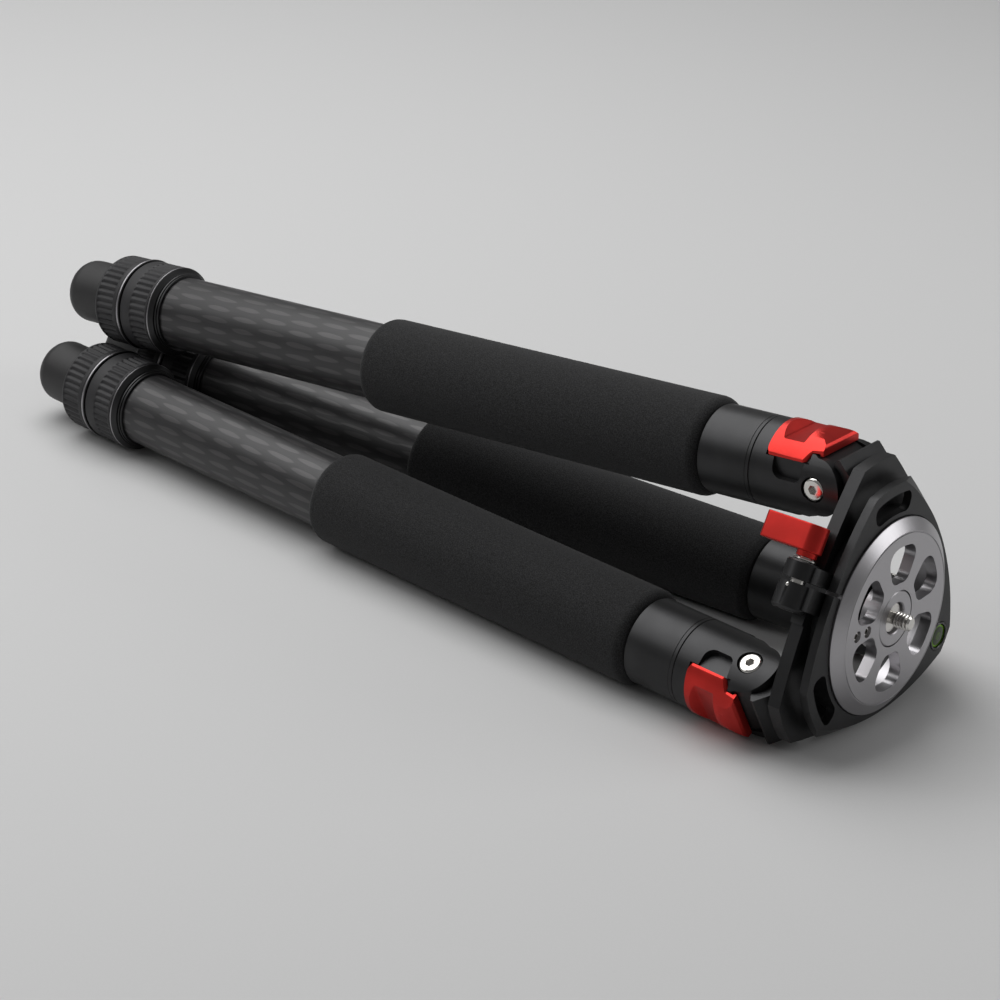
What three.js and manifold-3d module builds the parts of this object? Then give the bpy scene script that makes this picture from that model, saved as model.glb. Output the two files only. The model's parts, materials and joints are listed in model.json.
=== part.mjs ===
// Folded three-section carbon-fibre tripod leg set with a flat top plate, lying on its side.
// The tripod axis runs along X, with the top plate facing +X and the rubber feet at -X.
// All lengths are millimetres.
import * as THREE from "three";
import { mergeVertices } from "three/addons/utils/BufferGeometryUtils.js";
import Module from "manifold-3d";

const wasm = await Module();
wasm.setup();

// ---------------------------------------------------------------- driving dimensions
const GAP = 0.3; // clearance between neighbouring pieces

// Carbon tubes, outside diameters and wall
const TUBE1_D = 32;
const TUBE2_D = 28;
const TUBE3_D = 24.2;
const TUBE_WALL = 1.3;

// Folded leg stations, measured along the leg from its pivot
const SLEEVE_END = 52.6;
const GRIP_START = 52.9;
const GRIP_END = 224.8;
const LOCK1_START = 344.7;
const COLLAR1_START = 349.4;
const COLLAR1_END = 366.6;
const COLLAR2_START = 368.7;
const COLLAR2_END = 382.6;
const FOOT_END = 412;

// Leg sleeve with its fork, foam grip, twist collars and foot
const SLEEVE_D = 35;
const SLEEVE_WALL_END = 23;
const EAR_R = 11.3;
const EAR_SPAN = 21.6;
const FORK_DEPTH = 13;
const GRIP_D = 39.4;
const GRIP_ROUND = 4;
const COLLAR_D = 40.6;
const RIB_HEIGHT = 0.8;
const RIBS_1 = [1.1, 11.1]; // ribbed band of each collar, from its start
const RIBS_2 = [2.3, 12.6];
const FOOT_D = 28;
const FOOT_DOME = 9.5; // rounded end of the foot
const MIDDLE_START = 75; // hidden ends of the two inner tubes while folded
const LOWER_START = 110;

// Pivot of each leg on the shoulder
const PIVOT_X = -31;
const PIVOT_R = 48.8;
const COLLAR_GAP = 0.58; // between the lower ends of neighbouring collars, folded
const BOLT_D = 7;
const BOLT_HEAD_D = 9.3;
const STOP_ANGLE = 25; // degrees from folded to the first angle stop
// Each folded leg leans towards the axis until its collars nearly meet
const FOLD_ANGLE = THREE.MathUtils.radToDeg(
  Math.asin((PIVOT_R - (COLLAR_D + COLLAR_GAP) / Math.sqrt(3)) / COLLAR2_END),
);

// Angle latch: a saddle over the sleeve with a gripping trough and a blunt sloping tip
const LATCH_TIP = -1;
const LATCH_HEEL = 22;
const LATCH_R = 18.2;
const LATCH_WALL = 1.5; // skirt that wraps the sleeve
const LATCH_LOW = 9; // lower edge of the skirt
const LATCH_HALF_W = 15.2;
const LATCH_TIP_HALF_W = 11.8;
const LATCH_NECK = 3.4; // where the narrow tip ends
const LATCH_NECK_HALF_W = 12.3;
const LATCH_WIDE = 5.9; // where the full width starts
const LATCH_SEAT = 12.2;
const LATCH_SLOPE_END = 4.6;
const LATCH_TIP_TOP = 15.3;
const LATCH_LIP = 1.2;
const LATCH_LIP_LOW = 11.6;
const TROUGH_FRONT = 8.3;
const TROUGH_BACK = 17.3;
const TROUGH_FLOOR = 14.8;
const TROUGH_LEAN = 0.6; // run of the front wall and of the long back ramp
const TROUGH_RAMP = 2.9;
const LATCH_PIN_AT = 17.5;
const LATCH_PIN_D = 5;
const LATCH_TRAVEL = 5;
const LATCH_HOLD = 2.9; // pin left in its hole when the latch is pulled right out
const LATCH_PIN_LOW = LATCH_SEAT - LATCH_TRAVEL - LATCH_HOLD;
const LATCH_PIN_TOP = TROUGH_FLOOR - 1.2;

// Top plate
const PLATE_FRONT = -1.2;
const PLATE_FACE_R = 34.2;
const PLATE_R = 39;
const PLATE_BEVEL = 4.2;
const PLATE_WEB = 6;
const PLATE_RIM_BACK = 6.5;
const SPIGOT_R = 36.5;
const SPIGOT_BACK = 13;
const SPIGOT_WALL = 4;
const HOLE_COUNT = 6;
const HOLE_IN_R = 14.3;
const HOLE_OUT_R = 29.2;
const HOLE_IN_HALF = 19.7; // degrees either side of the middle
const HOLE_OUT_HALF = 21.2;
const HOLE_IN_ROUND = 4.2;
const HOLE_OUT_ROUND = 4.8;
const HOLE_TURN = 86; // degrees, direction of the first fan-shaped hole
const GRUB_D = 4;
const GRUB_R1 = 19.2;
const GRUB_R2 = 26.2;

// Hub insert, camera screw and knob
const HUB_R = 11;
const HUB_BORE_R = 6.2;
const STUD_D = 6.35;
const STUD_OUT = 5.8;
const STUD_PITCH = 1.27;
const SCREW_BACK = 14;
const KNOB_R = 13;
const KNOB_FRONT = -11;
const KNOB_BACK = -19;
const KNOB_NOTCH = 1.6;
const KNOB_BOSS_R = 8;
const KNOB_BOSS_FRONT = -9.2;

// Split clamp with its lever
const CLAMP_DIR = 150; // degrees, direction of the split
const CLAMP_X = -18;
const CLAMP_R = 50.2;
const SPLIT = 1.5;
const BOSS_UP_D = 12.4;
const BOSS_UP = 7.5;
const BOSS_LOW_D = 12.8;
const BOSS_LOW = 11.2;
const CLAMP_BOLT_D = 5;
const LEVER_H = 10.2;
const LEVER_T = 10.2;
const LEVER_LEN = 18.9;
const LEVER_STEM_D = 7.8;
const LEVER_STEM = 2.2;
const WASHER_D = 8.8;
const WASHER_T = 1;
const PIN_Y = -2.1; // stop pin, below the split

// Shoulder casting. Its flange surrounds the plate, and its rear corners carry the pivots.
const FLANGE_FRONT = -5;
const FLANGE_BACK = -8.3;
const REAR_FRONT = -12.5;
const REAR_BACK = -17.6;
const LEVER_CLEAR = 0.5;
const REAR_MID = CLAMP_R - LEVER_T / 2 - LEVER_CLEAR; // side that carries the clamp
const CORE_R = PLATE_R + 2;
const FLANGE_CORNER = PLATE_R + 14.4;
const REAR_CORNER = PIVOT_R + 12.2;
// Sides of the flange and the rear plate: distance from the axis in the middle, radius of the
// bow, half length of the bow, and degrees from a leg's direction to where the corner starts.
const FLANGE_CLAMP_SIDE = { mid: REAR_MID - 0.8, bow: 169, reach: 25, corner: 15.6 };
const FLANGE_FRONT_SIDE = { mid: PLATE_R + 2, bow: 100, reach: 36, corner: 5.6 };
const FLANGE_BACK_SIDE = { mid: PLATE_R + 3.6, bow: 150, reach: 30, corner: 15 };
const REAR_CLAMP_SIDE = { mid: REAR_MID, bow: 238, reach: 42, corner: 11.2 };
const REAR_PLAIN_SIDE = { mid: PLATE_R + 4.4, bow: 200, reach: 40, corner: 7.9 };
const LUG_HALF_W = 10.5;
const LUG_R = 11;
const LUG_IN = PIVOT_R - 10.8;
const LUG_OUT = PIVOT_R + 8.2;
const LUG_NECK = PIVOT_X + 7;
const STOP_HALF_W = 13.4;
const STOP_OUT = 14.8;
const STOP_IN = 11.8;
const STEP_ROOT = PIVOT_R + 1.2;
const STEP_TOP = PIVOT_R + 7.7;
const POCKET_IN = PLATE_R + 2.2;
const POCKET_OUT = PLATE_R + 10.3;
const POCKET_HALF = 15;
const POCKET_TURN = 2.4; // degrees by which the pockets sit nearer to the clamp
const POCKET_DEPTH = 5;

// Bubble level in one corner
const LEVEL_DIR = 330;
const LEVEL_R = PLATE_R + 7.5;
const LEVEL_D = 11.6;
const LEVEL_DEPTH = 5.5;
const LEVEL_WALL = 1.4;

// Directions of the three legs around the axis
const LEGS = [
  { tag: "A", dir: 90 },
  { tag: "B", dir: 210 },
  { tag: "C", dir: 330 },
];

// ---------------------------------------------------------------- helpers
const rad = THREE.MathUtils.degToRad;

function toSolid(geometry) {
  const g = geometry.clone();
  g.deleteAttribute("normal");
  g.deleteAttribute("uv");
  const m = mergeVertices(g, 1e-5);
  const vertProperties = new Float32Array(m.attributes.position.array);
  const triVerts = new Uint32Array(m.index.array);
  return new wasm.Manifold(new wasm.Mesh({ numProp: 3, vertProperties, triVerts }));
}

function toGeometry(solid) {
  const data = solid.getMesh();
  const g = new THREE.BufferGeometry();
  const pos = new Float32Array(data.numVert * 3);
  for (let i = 0; i < data.numVert; i += 1) {
    pos[3 * i] = data.vertProperties[data.numProp * i];
    pos[3 * i + 1] = data.vertProperties[data.numProp * i + 1];
    pos[3 * i + 2] = data.vertProperties[data.numProp * i + 2];
  }
  g.setAttribute("position", new THREE.BufferAttribute(pos, 3));
  g.setIndex(new THREE.BufferAttribute(new Uint32Array(data.triVerts), 1));
  g.computeVertexNormals();
  return g;
}

// Turned piece around the local X axis from a closed profile of [x, radius] points
function turned(profile, segments = 48) {
  const pts = profile.map(([x, r]) => new THREE.Vector2(r, x));
  const closed = profile[0][1] === 0 ? pts : [...pts, pts[0].clone()];
  const g = new THREE.LatheGeometry(closed, segments);
  g.applyMatrix4(new THREE.Matrix4().makeRotationZ(-Math.PI / 2));
  let s = toSolid(g);
  if (s.volume() < 0) {
    const flipped = mergeVertices(g, 1e-5);
    const idx = flipped.index.array;
    for (let i = 0; i < idx.length; i += 3) {
      const keep = idx[i];
      idx[i] = idx[i + 1];
      idx[i + 1] = keep;
    }
    s = toSolid(flipped);
  }
  return s;
}

// Tube wall around X between two radii
function ring(x0, x1, rIn, rOut, segments = 48) {
  return turned([[x0, rIn], [x1, rIn], [x1, rOut], [x0, rOut]], segments);
}

function rod(x0, x1, r, segments = 32) {
  return turned([[x0, 0], [x0, r], [x1, r], [x1, 0]], segments);
}

// Prism whose outline lies in local YZ, standing along X from x0 to x1
function prismX(outline, x0, x1) {
  const shape = new THREE.Shape(outline.map(([y, z]) => new THREE.Vector2(y, z)));
  const g = new THREE.ExtrudeGeometry(shape, { depth: x1 - x0, bevelEnabled: false });
  const m = new THREE.Matrix4().makeBasis(
    new THREE.Vector3(0, 1, 0),
    new THREE.Vector3(0, 0, 1),
    new THREE.Vector3(1, 0, 0),
  );
  m.setPosition(x0, 0, 0);
  g.applyMatrix4(m);
  return toSolid(g);
}

// Solid between two rounded outlines in local YZ, the first at x0 and the second at x1
function hullX(first, x0, second, x1) {
  return wasm.Manifold.hull([
    ...first.map(([y, z]) => [x0, y, z]),
    ...second.map(([y, z]) => [x1, y, z]),
  ]);
}

// Prism whose outline lies in local XZ, standing along Y from y0 to y1
function prismY(outline, y0, y1) {
  const shape = new THREE.Shape(outline.map(([x, z]) => new THREE.Vector2(x, z)));
  const g = new THREE.ExtrudeGeometry(shape, { depth: y1 - y0, bevelEnabled: false });
  const m = new THREE.Matrix4().makeBasis(
    new THREE.Vector3(1, 0, 0),
    new THREE.Vector3(0, 0, 1),
    new THREE.Vector3(0, -1, 0),
  );
  m.setPosition(0, y1, 0);
  g.applyMatrix4(m);
  return toSolid(g);
}

// Prism whose outline lies in local XY, standing along Z from z0 to z1
function prismZ(outline, z0, z1) {
  const shape = new THREE.Shape(outline.map(([x, y]) => new THREE.Vector2(x, y)));
  const g = new THREE.ExtrudeGeometry(shape, { depth: z1 - z0, bevelEnabled: false });
  g.applyMatrix4(new THREE.Matrix4().makeTranslation(0, 0, z0));
  return toSolid(g);
}

function block(x0, x1, y0, y1, z0, z1) {
  const g = new THREE.BoxGeometry(x1 - x0, y1 - y0, z1 - z0);
  g.translate((x0 + x1) / 2, (y0 + y1) / 2, (z0 + z1) / 2);
  return toSolid(g);
}

// Cylinder along local Y
function pegY(x, z, r, y0, y1, segments = 32) {
  const g = new THREE.CylinderGeometry(r, r, y1 - y0, segments);
  g.translate(x, (y0 + y1) / 2, z);
  return toSolid(g);
}

// Cylinder along local Z
function pegZ(x, y, r, z0, z1, segments = 24) {
  const g = new THREE.CylinderGeometry(r, r, z1 - z0, segments);
  g.rotateX(Math.PI / 2);
  g.translate(x, y, (z0 + z1) / 2);
  return toSolid(g);
}

// Turns a solid about the X axis by an angle in degrees
function spin(solid, degrees) {
  return solid.rotate([degrees, 0, 0]);
}

// Outline with each corner replaced by a short arc
function softCorners(points, radii, steps = 5) {
  const out = [];
  const n = points.length;
  for (let i = 0; i < n; i += 1) {
    const p = new THREE.Vector2(...points[i]);
    const a = new THREE.Vector2(...points[(i + n - 1) % n]).sub(p);
    const b = new THREE.Vector2(...points[(i + 1) % n]).sub(p);
    const half = Math.acos(a.clone().normalize().dot(b.clone().normalize())) / 2;
    const r = Array.isArray(radii) ? radii[i] : radii;
    if (r <= 0) {
      out.push([p.x, p.y]);
      continue;
    }
    const reach = Math.min(r / Math.tan(half), a.length() * 0.48, b.length() * 0.48);
    const start = p.clone().add(a.normalize().multiplyScalar(reach));
    const end = p.clone().add(b.normalize().multiplyScalar(reach));
    for (let k = 0; k <= steps; k += 1) {
      const t = k / steps;
      const u = (1 - t) * (1 - t);
      const v = 2 * t * (1 - t);
      const w = t * t;
      out.push([u * start.x + v * p.x + w * end.x, u * start.y + v * p.y + w * end.y]);
    }
  }
  return out;
}

const polar = (r, deg) => [r * Math.cos(rad(deg)), r * Math.sin(rad(deg))];

// Three-cornered outline, corners at the leg directions, with one side under the clamp
function threeCorner(corner, clampSide, plainSide) {
  const out = [];
  for (const leg of LEGS) {
    const before = leg.dir - 60 === CLAMP_DIR ? clampSide : plainSide;
    const after = leg.dir + 60 === CLAMP_DIR ? clampSide : plainSide;
    for (let k = -2; k <= 2; k += 1) {
      out.push(polar(corner, leg.dir + ((k < 0 ? before : after).corner * k) / 2));
    }
    for (let k = 2; k >= -2; k -= 1) {
      const side = (after.reach * k) / 2;
      const r = after.mid - (side * side) / (2 * after.bow);
      const turn = rad(leg.dir + 60);
      out.push([
        r * Math.cos(turn) + side * Math.sin(turn),
        r * Math.sin(turn) - side * Math.cos(turn),
      ]);
    }
  }
  return out;
}

function paint(color, roughness, metalness) {
  return new THREE.MeshStandardMaterial({ color, roughness, metalness });
}

const BLACK_METAL = paint(0x17171a, 0.42, 0.9);
const SATIN_METAL = paint(0xa9a7aa, 0.34, 1);
const STEEL = paint(0xb8b4ac, 0.25, 1);
const RED_METAL = paint(0xb3261f, 0.38, 0.75);
const CARBON = paint(0x2b2a2c, 0.4, 0.2);
const FOAM = paint(0x202022, 0.95, 0);
const RUBBER = paint(0x242326, 0.8, 0);
const FLUID = paint(0x9ad21e, 0.12, 0);
const GLOSS_BLACK = paint(0x101012, 0.2, 0);

function named(name, solid, material) {
  const mesh = new THREE.Mesh(toGeometry(solid), material);
  mesh.name = name;
  return mesh;
}

// ---------------------------------------------------------------- leg pieces
// Leg frame: X runs from the pivot to the foot, Z points away from the tripod axis, Y across.

function yoke() {
  const r = SLEEVE_D / 2;
  const bore = TUBE1_D / 2 + GAP / 2;
  // Sleeve, with its fork trimmed to a round ear about the pivot
  let s = rod(FORK_DEPTH, SLEEVE_END, r, 36);
  const fork = rod(-EAR_R - 1, FORK_DEPTH + 1, r, 36);
  const steps = 10;
  const side = [];
  for (let k = 0; k <= steps; k += 1) {
    const a = rad(90 + (180 * k) / steps);
    side.push([EAR_R * Math.cos(a), EAR_R * Math.sin(a)]);
  }
  side.push([FORK_DEPTH + 1, -r], [FORK_DEPTH + 1, r]);
  s = s.add(fork.intersect(prismY(side, -r - 1, r + 1)));
  // Slot that takes the shoulder lug
  s = s.subtract(block(-EAR_R - 2, FORK_DEPTH, -EAR_SPAN / 2, EAR_SPAN / 2, -r - 1, r + 1));
  // Seat of the latch
  s = s.subtract(block(-EAR_R - 2, LATCH_HEEL + GAP, -r, r, LATCH_SEAT, r + 1));
  const skirt = rod(LATCH_NECK - 0.2, LATCH_HEEL + GAP, r + 1, 36)
    .subtract(rod(LATCH_NECK - 1, LATCH_HEEL + 1, LATCH_R - LATCH_WALL - GAP, 36))
    .intersect(block(-EAR_R, SLEEVE_END, -r - 1, r + 1, LATCH_LOW - GAP, r + 2));
  s = s.subtract(skirt);
  // Socket for the carbon tube
  s = s.subtract(rod(SLEEVE_WALL_END, SLEEVE_END + 1, bore, 32));
  // Finger windows in both flanks, open to the latch above
  const window = softCorners([
    [8.3, 1.2], [17.3, 1.2], [19.8, 13], [4.2, 13], [5.2, 6.5],
  ], [3, 3, 0, 0, 4], 2);
  const floor = r - 2.9;
  s = s.subtract(prismY(window, floor, r + 1));
  s = s.subtract(prismY(window, -r - 1, -floor));
  // Pivot bore, counterbores and the hole of the latch pin
  s = s.subtract(pegY(0, 0, BOLT_D / 2 + 0.2, -r - 1, r + 1, 16));
  const head = BOLT_HEAD_D / 2 + 0.25;
  s = s.subtract(pegY(0, 0, head, r - 3.6, r + 1, 20));
  s = s.subtract(pegY(0, 0, head, -r - 1, -r + 3.6, 20));
  return s.subtract(pegZ(LATCH_PIN_AT, 0, LATCH_PIN_D / 2 + GAP, LATCH_PIN_LOW - GAP, r, 12));
}

function hexPocketY(acrossFlats, y0, y1) {
  const r = acrossFlats / Math.sqrt(3);
  const pts = [];
  for (let k = 0; k < 6; k += 1) {
    pts.push([r * Math.cos(rad(60 * k)), r * Math.sin(rad(60 * k))]);
  }
  return prismY(pts, y0, y1);
}

function pivotBolt() {
  const out = SLEEVE_D / 2 - 0.25;
  const seat = SLEEVE_D / 2 - 3.3;
  let s = pegY(0, 0, BOLT_HEAD_D / 2, seat, out, 20);
  s = s.add(pegY(0, 0, BOLT_D / 2, -seat + GAP, seat + 0.5, 16));
  return s.subtract(hexPocketY(4, out - 2, out + 1));
}

function pivotNut() {
  const out = SLEEVE_D / 2 - 0.25;
  const seat = SLEEVE_D / 2 - 3.3;
  const s = pegY(0, 0, BOLT_HEAD_D / 2, -out, -seat, 20);
  return s.subtract(hexPocketY(4, -out - 1, -out + 2));
}

function latch() {
  const top = LATCH_R + 2;
  const seat = LATCH_SEAT + GAP;
  const plan = softCorners([
    [LATCH_HEEL, -LATCH_HALF_W], [LATCH_HEEL, LATCH_HALF_W], [LATCH_WIDE, LATCH_HALF_W],
    [LATCH_NECK, LATCH_NECK_HALF_W], [LATCH_TIP, LATCH_TIP_HALF_W],
    [LATCH_TIP, -LATCH_TIP_HALF_W], [LATCH_NECK, -LATCH_NECK_HALF_W], [LATCH_WIDE, -LATCH_HALF_W],
  ], [1.5, 1.5, 0.8, 1.2, 0, 0, 1.2, 0.8], 2);
  const column = prismZ(plan, LATCH_LOW, top);
  let s = rod(LATCH_TIP - 1, LATCH_HEEL + 1, LATCH_R, 36).intersect(column);
  // Hollow under the skirt so that it wraps the sleeve, with a lip left at the tip
  const lip = LATCH_TIP + LATCH_LIP;
  const under = rod(LATCH_TIP - 2, LATCH_HEEL + 2, LATCH_R - LATCH_WALL, 36);
  const solid = block(LATCH_TIP - 3, LATCH_HEEL + 3, -20, 20, seat, top)
    .add(block(LATCH_TIP - 3, lip, -20, 20, LATCH_LIP_LOW, top));
  s = s.subtract(under.subtract(solid));
  s = s.subtract(block(LATCH_TIP - 1, lip, -20, 20, 0, LATCH_LIP_LOW));
  s = s.subtract(block(lip, LATCH_NECK + 0.1, -20, 20, 0, seat));
  // Front slope down to the tip
  const rise = (LATCH_R - LATCH_TIP_TOP) / (LATCH_SLOPE_END - LATCH_TIP);
  s = s.subtract(prismY([
    [LATCH_TIP - 2, LATCH_TIP_TOP - 2 * rise], [LATCH_SLOPE_END + 2, LATCH_R + 2 * rise],
    [LATCH_TIP - 2, LATCH_R + 2 * rise],
  ], -20, 20));
  // Trough across the full width, with a steep front wall and a ramp up to the heel
  const steep = (LATCH_R - TROUGH_FLOOR + 1) / (LATCH_R - TROUGH_FLOOR);
  s = s.subtract(prismY([
    [TROUGH_FRONT, TROUGH_FLOOR], [TROUGH_BACK, TROUGH_FLOOR],
    [TROUGH_BACK + TROUGH_RAMP * steep, LATCH_R + 1],
    [TROUGH_FRONT - TROUGH_LEAN * steep, LATCH_R + 1],
  ], -20, 20));
  // Socket of the pin
  return s.subtract(pegZ(LATCH_PIN_AT, 0, LATCH_PIN_D / 2 + GAP, 0, LATCH_PIN_TOP + GAP, 12));
}

function latchPin() {
  return pegZ(LATCH_PIN_AT, 0, LATCH_PIN_D / 2, LATCH_PIN_LOW, LATCH_PIN_TOP, 12);
}

function upperTube() {
  const r = TUBE1_D / 2;
  return ring(SLEEVE_WALL_END + GAP, LOCK1_START + 7, r - TUBE_WALL, r, 32);
}

function foamGrip() {
  const inner = TUBE1_D / 2 + GAP;
  const r = GRIP_D / 2;
  const c = GRIP_ROUND;
  return turned([
    [GRIP_START, inner], [GRIP_START, r - 0.6 * c], [GRIP_START + 0.35 * c, r - 0.15 * c],
    [GRIP_START + c, r], [GRIP_END - c, r], [GRIP_END - 0.35 * c, r - 0.15 * c],
    [GRIP_END, r - 0.6 * c], [GRIP_END, inner],
  ].reverse(), 28);
}

// Fitting fixed to the end of a tube: seat, bevelled flange and the threaded nose of the collar
function upperLockBody() {
  const seat = TUBE1_D / 2 + GAP / 2;
  const nose = TUBE2_D / 2 + GAP;
  const thread = COLLAR_D / 2 - 3.1;
  const flange = COLLAR1_START - GAP / 2;
  const end = COLLAR1_END - 2.3;
  const x = LOCK1_START;
  return turned([
    [x, seat], [x, seat + 1.2], [x + 1.6, seat + 1.2], [x + 2.4, seat + 2.2],
    [flange, COLLAR_D / 2 - 0.4], [flange, thread], [end, thread],
    [end, nose], [x + 7.3, nose], [x + 7.3, seat],
  ].reverse(), 24);
}

// Twist collar: rubber ring with a grip band, ribbed on the real piece, between two plain bands.
// The band is drawn at the mean height of its ribs.
function twistCollar(start, end, band, nextD) {
  const r = COLLAR_D / 2;
  const inner = r - 2.8;
  const neck = nextD / 2 + GAP;
  return turned([
    [start, inner], [start, r - 0.5], [start + 0.6, r], [start + band[0] - 0.2, r],
    [start + band[0], r - RIB_HEIGHT / 2], [start + band[1], r - RIB_HEIGHT / 2],
    [start + band[1] + 0.2, r], [end - 0.8, r], [end, r - 0.8],
    [end, neck], [end - 2, neck], [end - 2, inner],
  ].reverse(), 24);
}

// Fitting of the lower lock, with a thin flange between the two collars
function lowerLockBody() {
  const start = COLLAR1_END + GAP;
  const seat = TUBE2_D / 2 + GAP / 2;
  const nose = TUBE3_D / 2 + GAP;
  const wide = COLLAR_D / 2 + 0.1;
  const thread = COLLAR_D / 2 - 3.1;
  const flange = COLLAR2_START - GAP / 2;
  const step = COLLAR2_START + 3 + GAP;
  return turned([
    [start, seat], [start, wide - 0.4], [(start + flange) / 2, wide], [flange, wide - 0.4],
    [flange, thread], [COLLAR2_END - 2.3, thread], [COLLAR2_END - 2.3, nose],
    [step, nose], [step, seat],
  ].reverse(), 24);
}

function middleTube() {
  const r = TUBE2_D / 2;
  return ring(MIDDLE_START, COLLAR2_START + 3, r - TUBE_WALL, r, 28);
}

function lowerTube() {
  const r = TUBE3_D / 2;
  return ring(LOWER_START, COLLAR2_END + 10, r - TUBE_WALL, r, 24);
}

function rubberFoot() {
  const r = FOOT_D / 2;
  const start = COLLAR2_END + 0.5;
  const inner = TUBE3_D / 2 + GAP;
  const floor = COLLAR2_END + 10 + GAP;
  const dome = FOOT_END - FOOT_DOME;
  const profile = [[floor, 0], [floor, inner], [start, inner], [start, r - 0.3], [start + 3, r]];
  for (let k = 0; k <= 4; k += 1) {
    const a = rad((90 * k) / 4);
    profile.push([dome + FOOT_DOME * Math.sin(a), k === 4 ? 0 : r * Math.cos(a)]);
  }
  return turned(profile, 24);
}

function leg(tag) {
  const g = new THREE.Group();
  const put = (name, solid, material) => g.add(named(`${name}_${tag}`, solid, material));
  put("yoke", yoke(), BLACK_METAL);
  put("pivot_bolt", pivotBolt(), STEEL);
  put("pivot_nut", pivotNut(), STEEL);
  put("angle_latch", latch(), RED_METAL);
  put("latch_pin", latchPin(), STEEL);
  put("upper_tube", upperTube(), CARBON);
  put("foam_grip", foamGrip(), FOAM);
  put("upper_lock_body", upperLockBody(), BLACK_METAL);
  put("upper_twist_collar", twistCollar(COLLAR1_START, COLLAR1_END, RIBS_1, TUBE2_D), RUBBER);
  put("middle_tube", middleTube(), CARBON);
  put("lower_lock_body", lowerLockBody(), BLACK_METAL);
  put("lower_twist_collar", twistCollar(COLLAR2_START, COLLAR2_END, RIBS_2, TUBE3_D), RUBBER);
  put("lower_tube", lowerTube(), CARBON);
  put("rubber_foot", rubberFoot(), RUBBER);
  return g;
}

// ---------------------------------------------------------------- head pieces
// Head frame: X along the tripod axis, with its origin just in front of the plate face.

// Curve around one corner of a fan-shaped hole, between its arc and its straight side
function fanCorner(r, half, side, reach, steps = 3) {
  const corner = new THREE.Vector2(...polar(r, side * half));
  const onArc = new THREE.Vector2(...polar(r, side * (half - THREE.MathUtils.radToDeg(reach / r))));
  const inner = new THREE.Vector2(...polar(HOLE_IN_R, side * HOLE_IN_HALF));
  const outer = new THREE.Vector2(...polar(HOLE_OUT_R, side * HOLE_OUT_HALF));
  const far = r === HOLE_OUT_R ? inner : outer;
  const onSide = corner.clone().add(far.clone().sub(corner).normalize().multiplyScalar(reach));
  return new THREE.QuadraticBezierCurve(onArc, corner, onSide).getPoints(steps);
}

function fanHole(turn) {
  const low = fanCorner(HOLE_OUT_R, HOLE_OUT_HALF, -1, HOLE_OUT_ROUND).reverse();
  const high = fanCorner(HOLE_OUT_R, HOLE_OUT_HALF, 1, HOLE_OUT_ROUND);
  const back = fanCorner(HOLE_IN_R, HOLE_IN_HALF, 1, HOLE_IN_ROUND).reverse();
  const home = fanCorner(HOLE_IN_R, HOLE_IN_HALF, -1, HOLE_IN_ROUND);
  const arc = [-6, 0, 6].map((a) => new THREE.Vector2(...polar(HOLE_OUT_R, a)));
  const outline = [...low, ...arc, ...high, ...back, ...home].map((p) => [p.x, p.y]);
  return spin(prismX(outline, -PLATE_WEB - 1, 1), turn);
}

function topPlate() {
  const web = -PLATE_WEB;
  const wall = SPIGOT_R - SPIGOT_WALL;
  let s = turned([
    [PLATE_FRONT, HUB_R + 0.25], [PLATE_FRONT, PLATE_FACE_R],
    [-PLATE_BEVEL, PLATE_R], [-PLATE_RIM_BACK, PLATE_R],
    [-PLATE_RIM_BACK, SPIGOT_R], [-SPIGOT_BACK, SPIGOT_R], [-SPIGOT_BACK, wall],
    [web, wall], [web, HUB_R + 0.25],
  ], 48);
  for (let k = 0; k < HOLE_COUNT; k += 1) {
    s = s.subtract(fanHole(HOLE_TURN + (360 * k) / HOLE_COUNT));
  }
  const spoke = HOLE_TURN + 90;
  for (const r of [GRUB_R1, GRUB_R2]) {
    const hole = rod(-PLATE_WEB - 1, 1, GRUB_D / 2 + 0.25, 14).translate([0, r, 0]);
    s = s.subtract(spin(hole, spoke));
  }
  return s;
}

function grubScrew(r) {
  let s = rod(-PLATE_WEB + 0.3, PLATE_FRONT - 0.8, GRUB_D / 2, 14);
  const key = [];
  for (let k = 0; k < 6; k += 1) {
    key.push(polar(1.15, 60 * k));
  }
  s = s.subtract(prismX(key, PLATE_FRONT - 2.8, 0));
  return spin(s.translate([0, r, 0]), HOLE_TURN + 90);
}

function hubInsert() {
  const web = PLATE_WEB;
  return turned([
    [PLATE_FRONT, HUB_BORE_R], [PLATE_FRONT, HUB_R], [-web - GAP, HUB_R], [-web - GAP, HUB_R + 2.6],
    [-web - 2.6, HUB_R + 2.6], [-web - 2.6, STUD_D / 2 + GAP], [-4.6, STUD_D / 2 + GAP],
    [-4.6, HUB_BORE_R],
  ], 32);
}

function mountingScrew() {
  const r = STUD_D / 2;
  const root = r - 0.55;
  const turns = Math.floor((STUD_OUT + 0.6) / STUD_PITCH);
  const profile = [[-SCREW_BACK, 0], [-SCREW_BACK, root], [-4.3, root]];
  profile.push([-4.3, HUB_BORE_R - GAP]);
  profile.push([-2.6, HUB_BORE_R - GAP], [-2.6, root]);
  for (let k = 0; k < turns; k += 1) {
    const x = STUD_OUT - 0.7 - STUD_PITCH * (turns - 1 - k);
    profile.push([x - 0.5, root], [x, r]);
  }
  profile.push([STUD_OUT - 0.2, root], [STUD_OUT, root - 0.2], [STUD_OUT, 0]);
  return turned(profile, 20);
}

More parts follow.
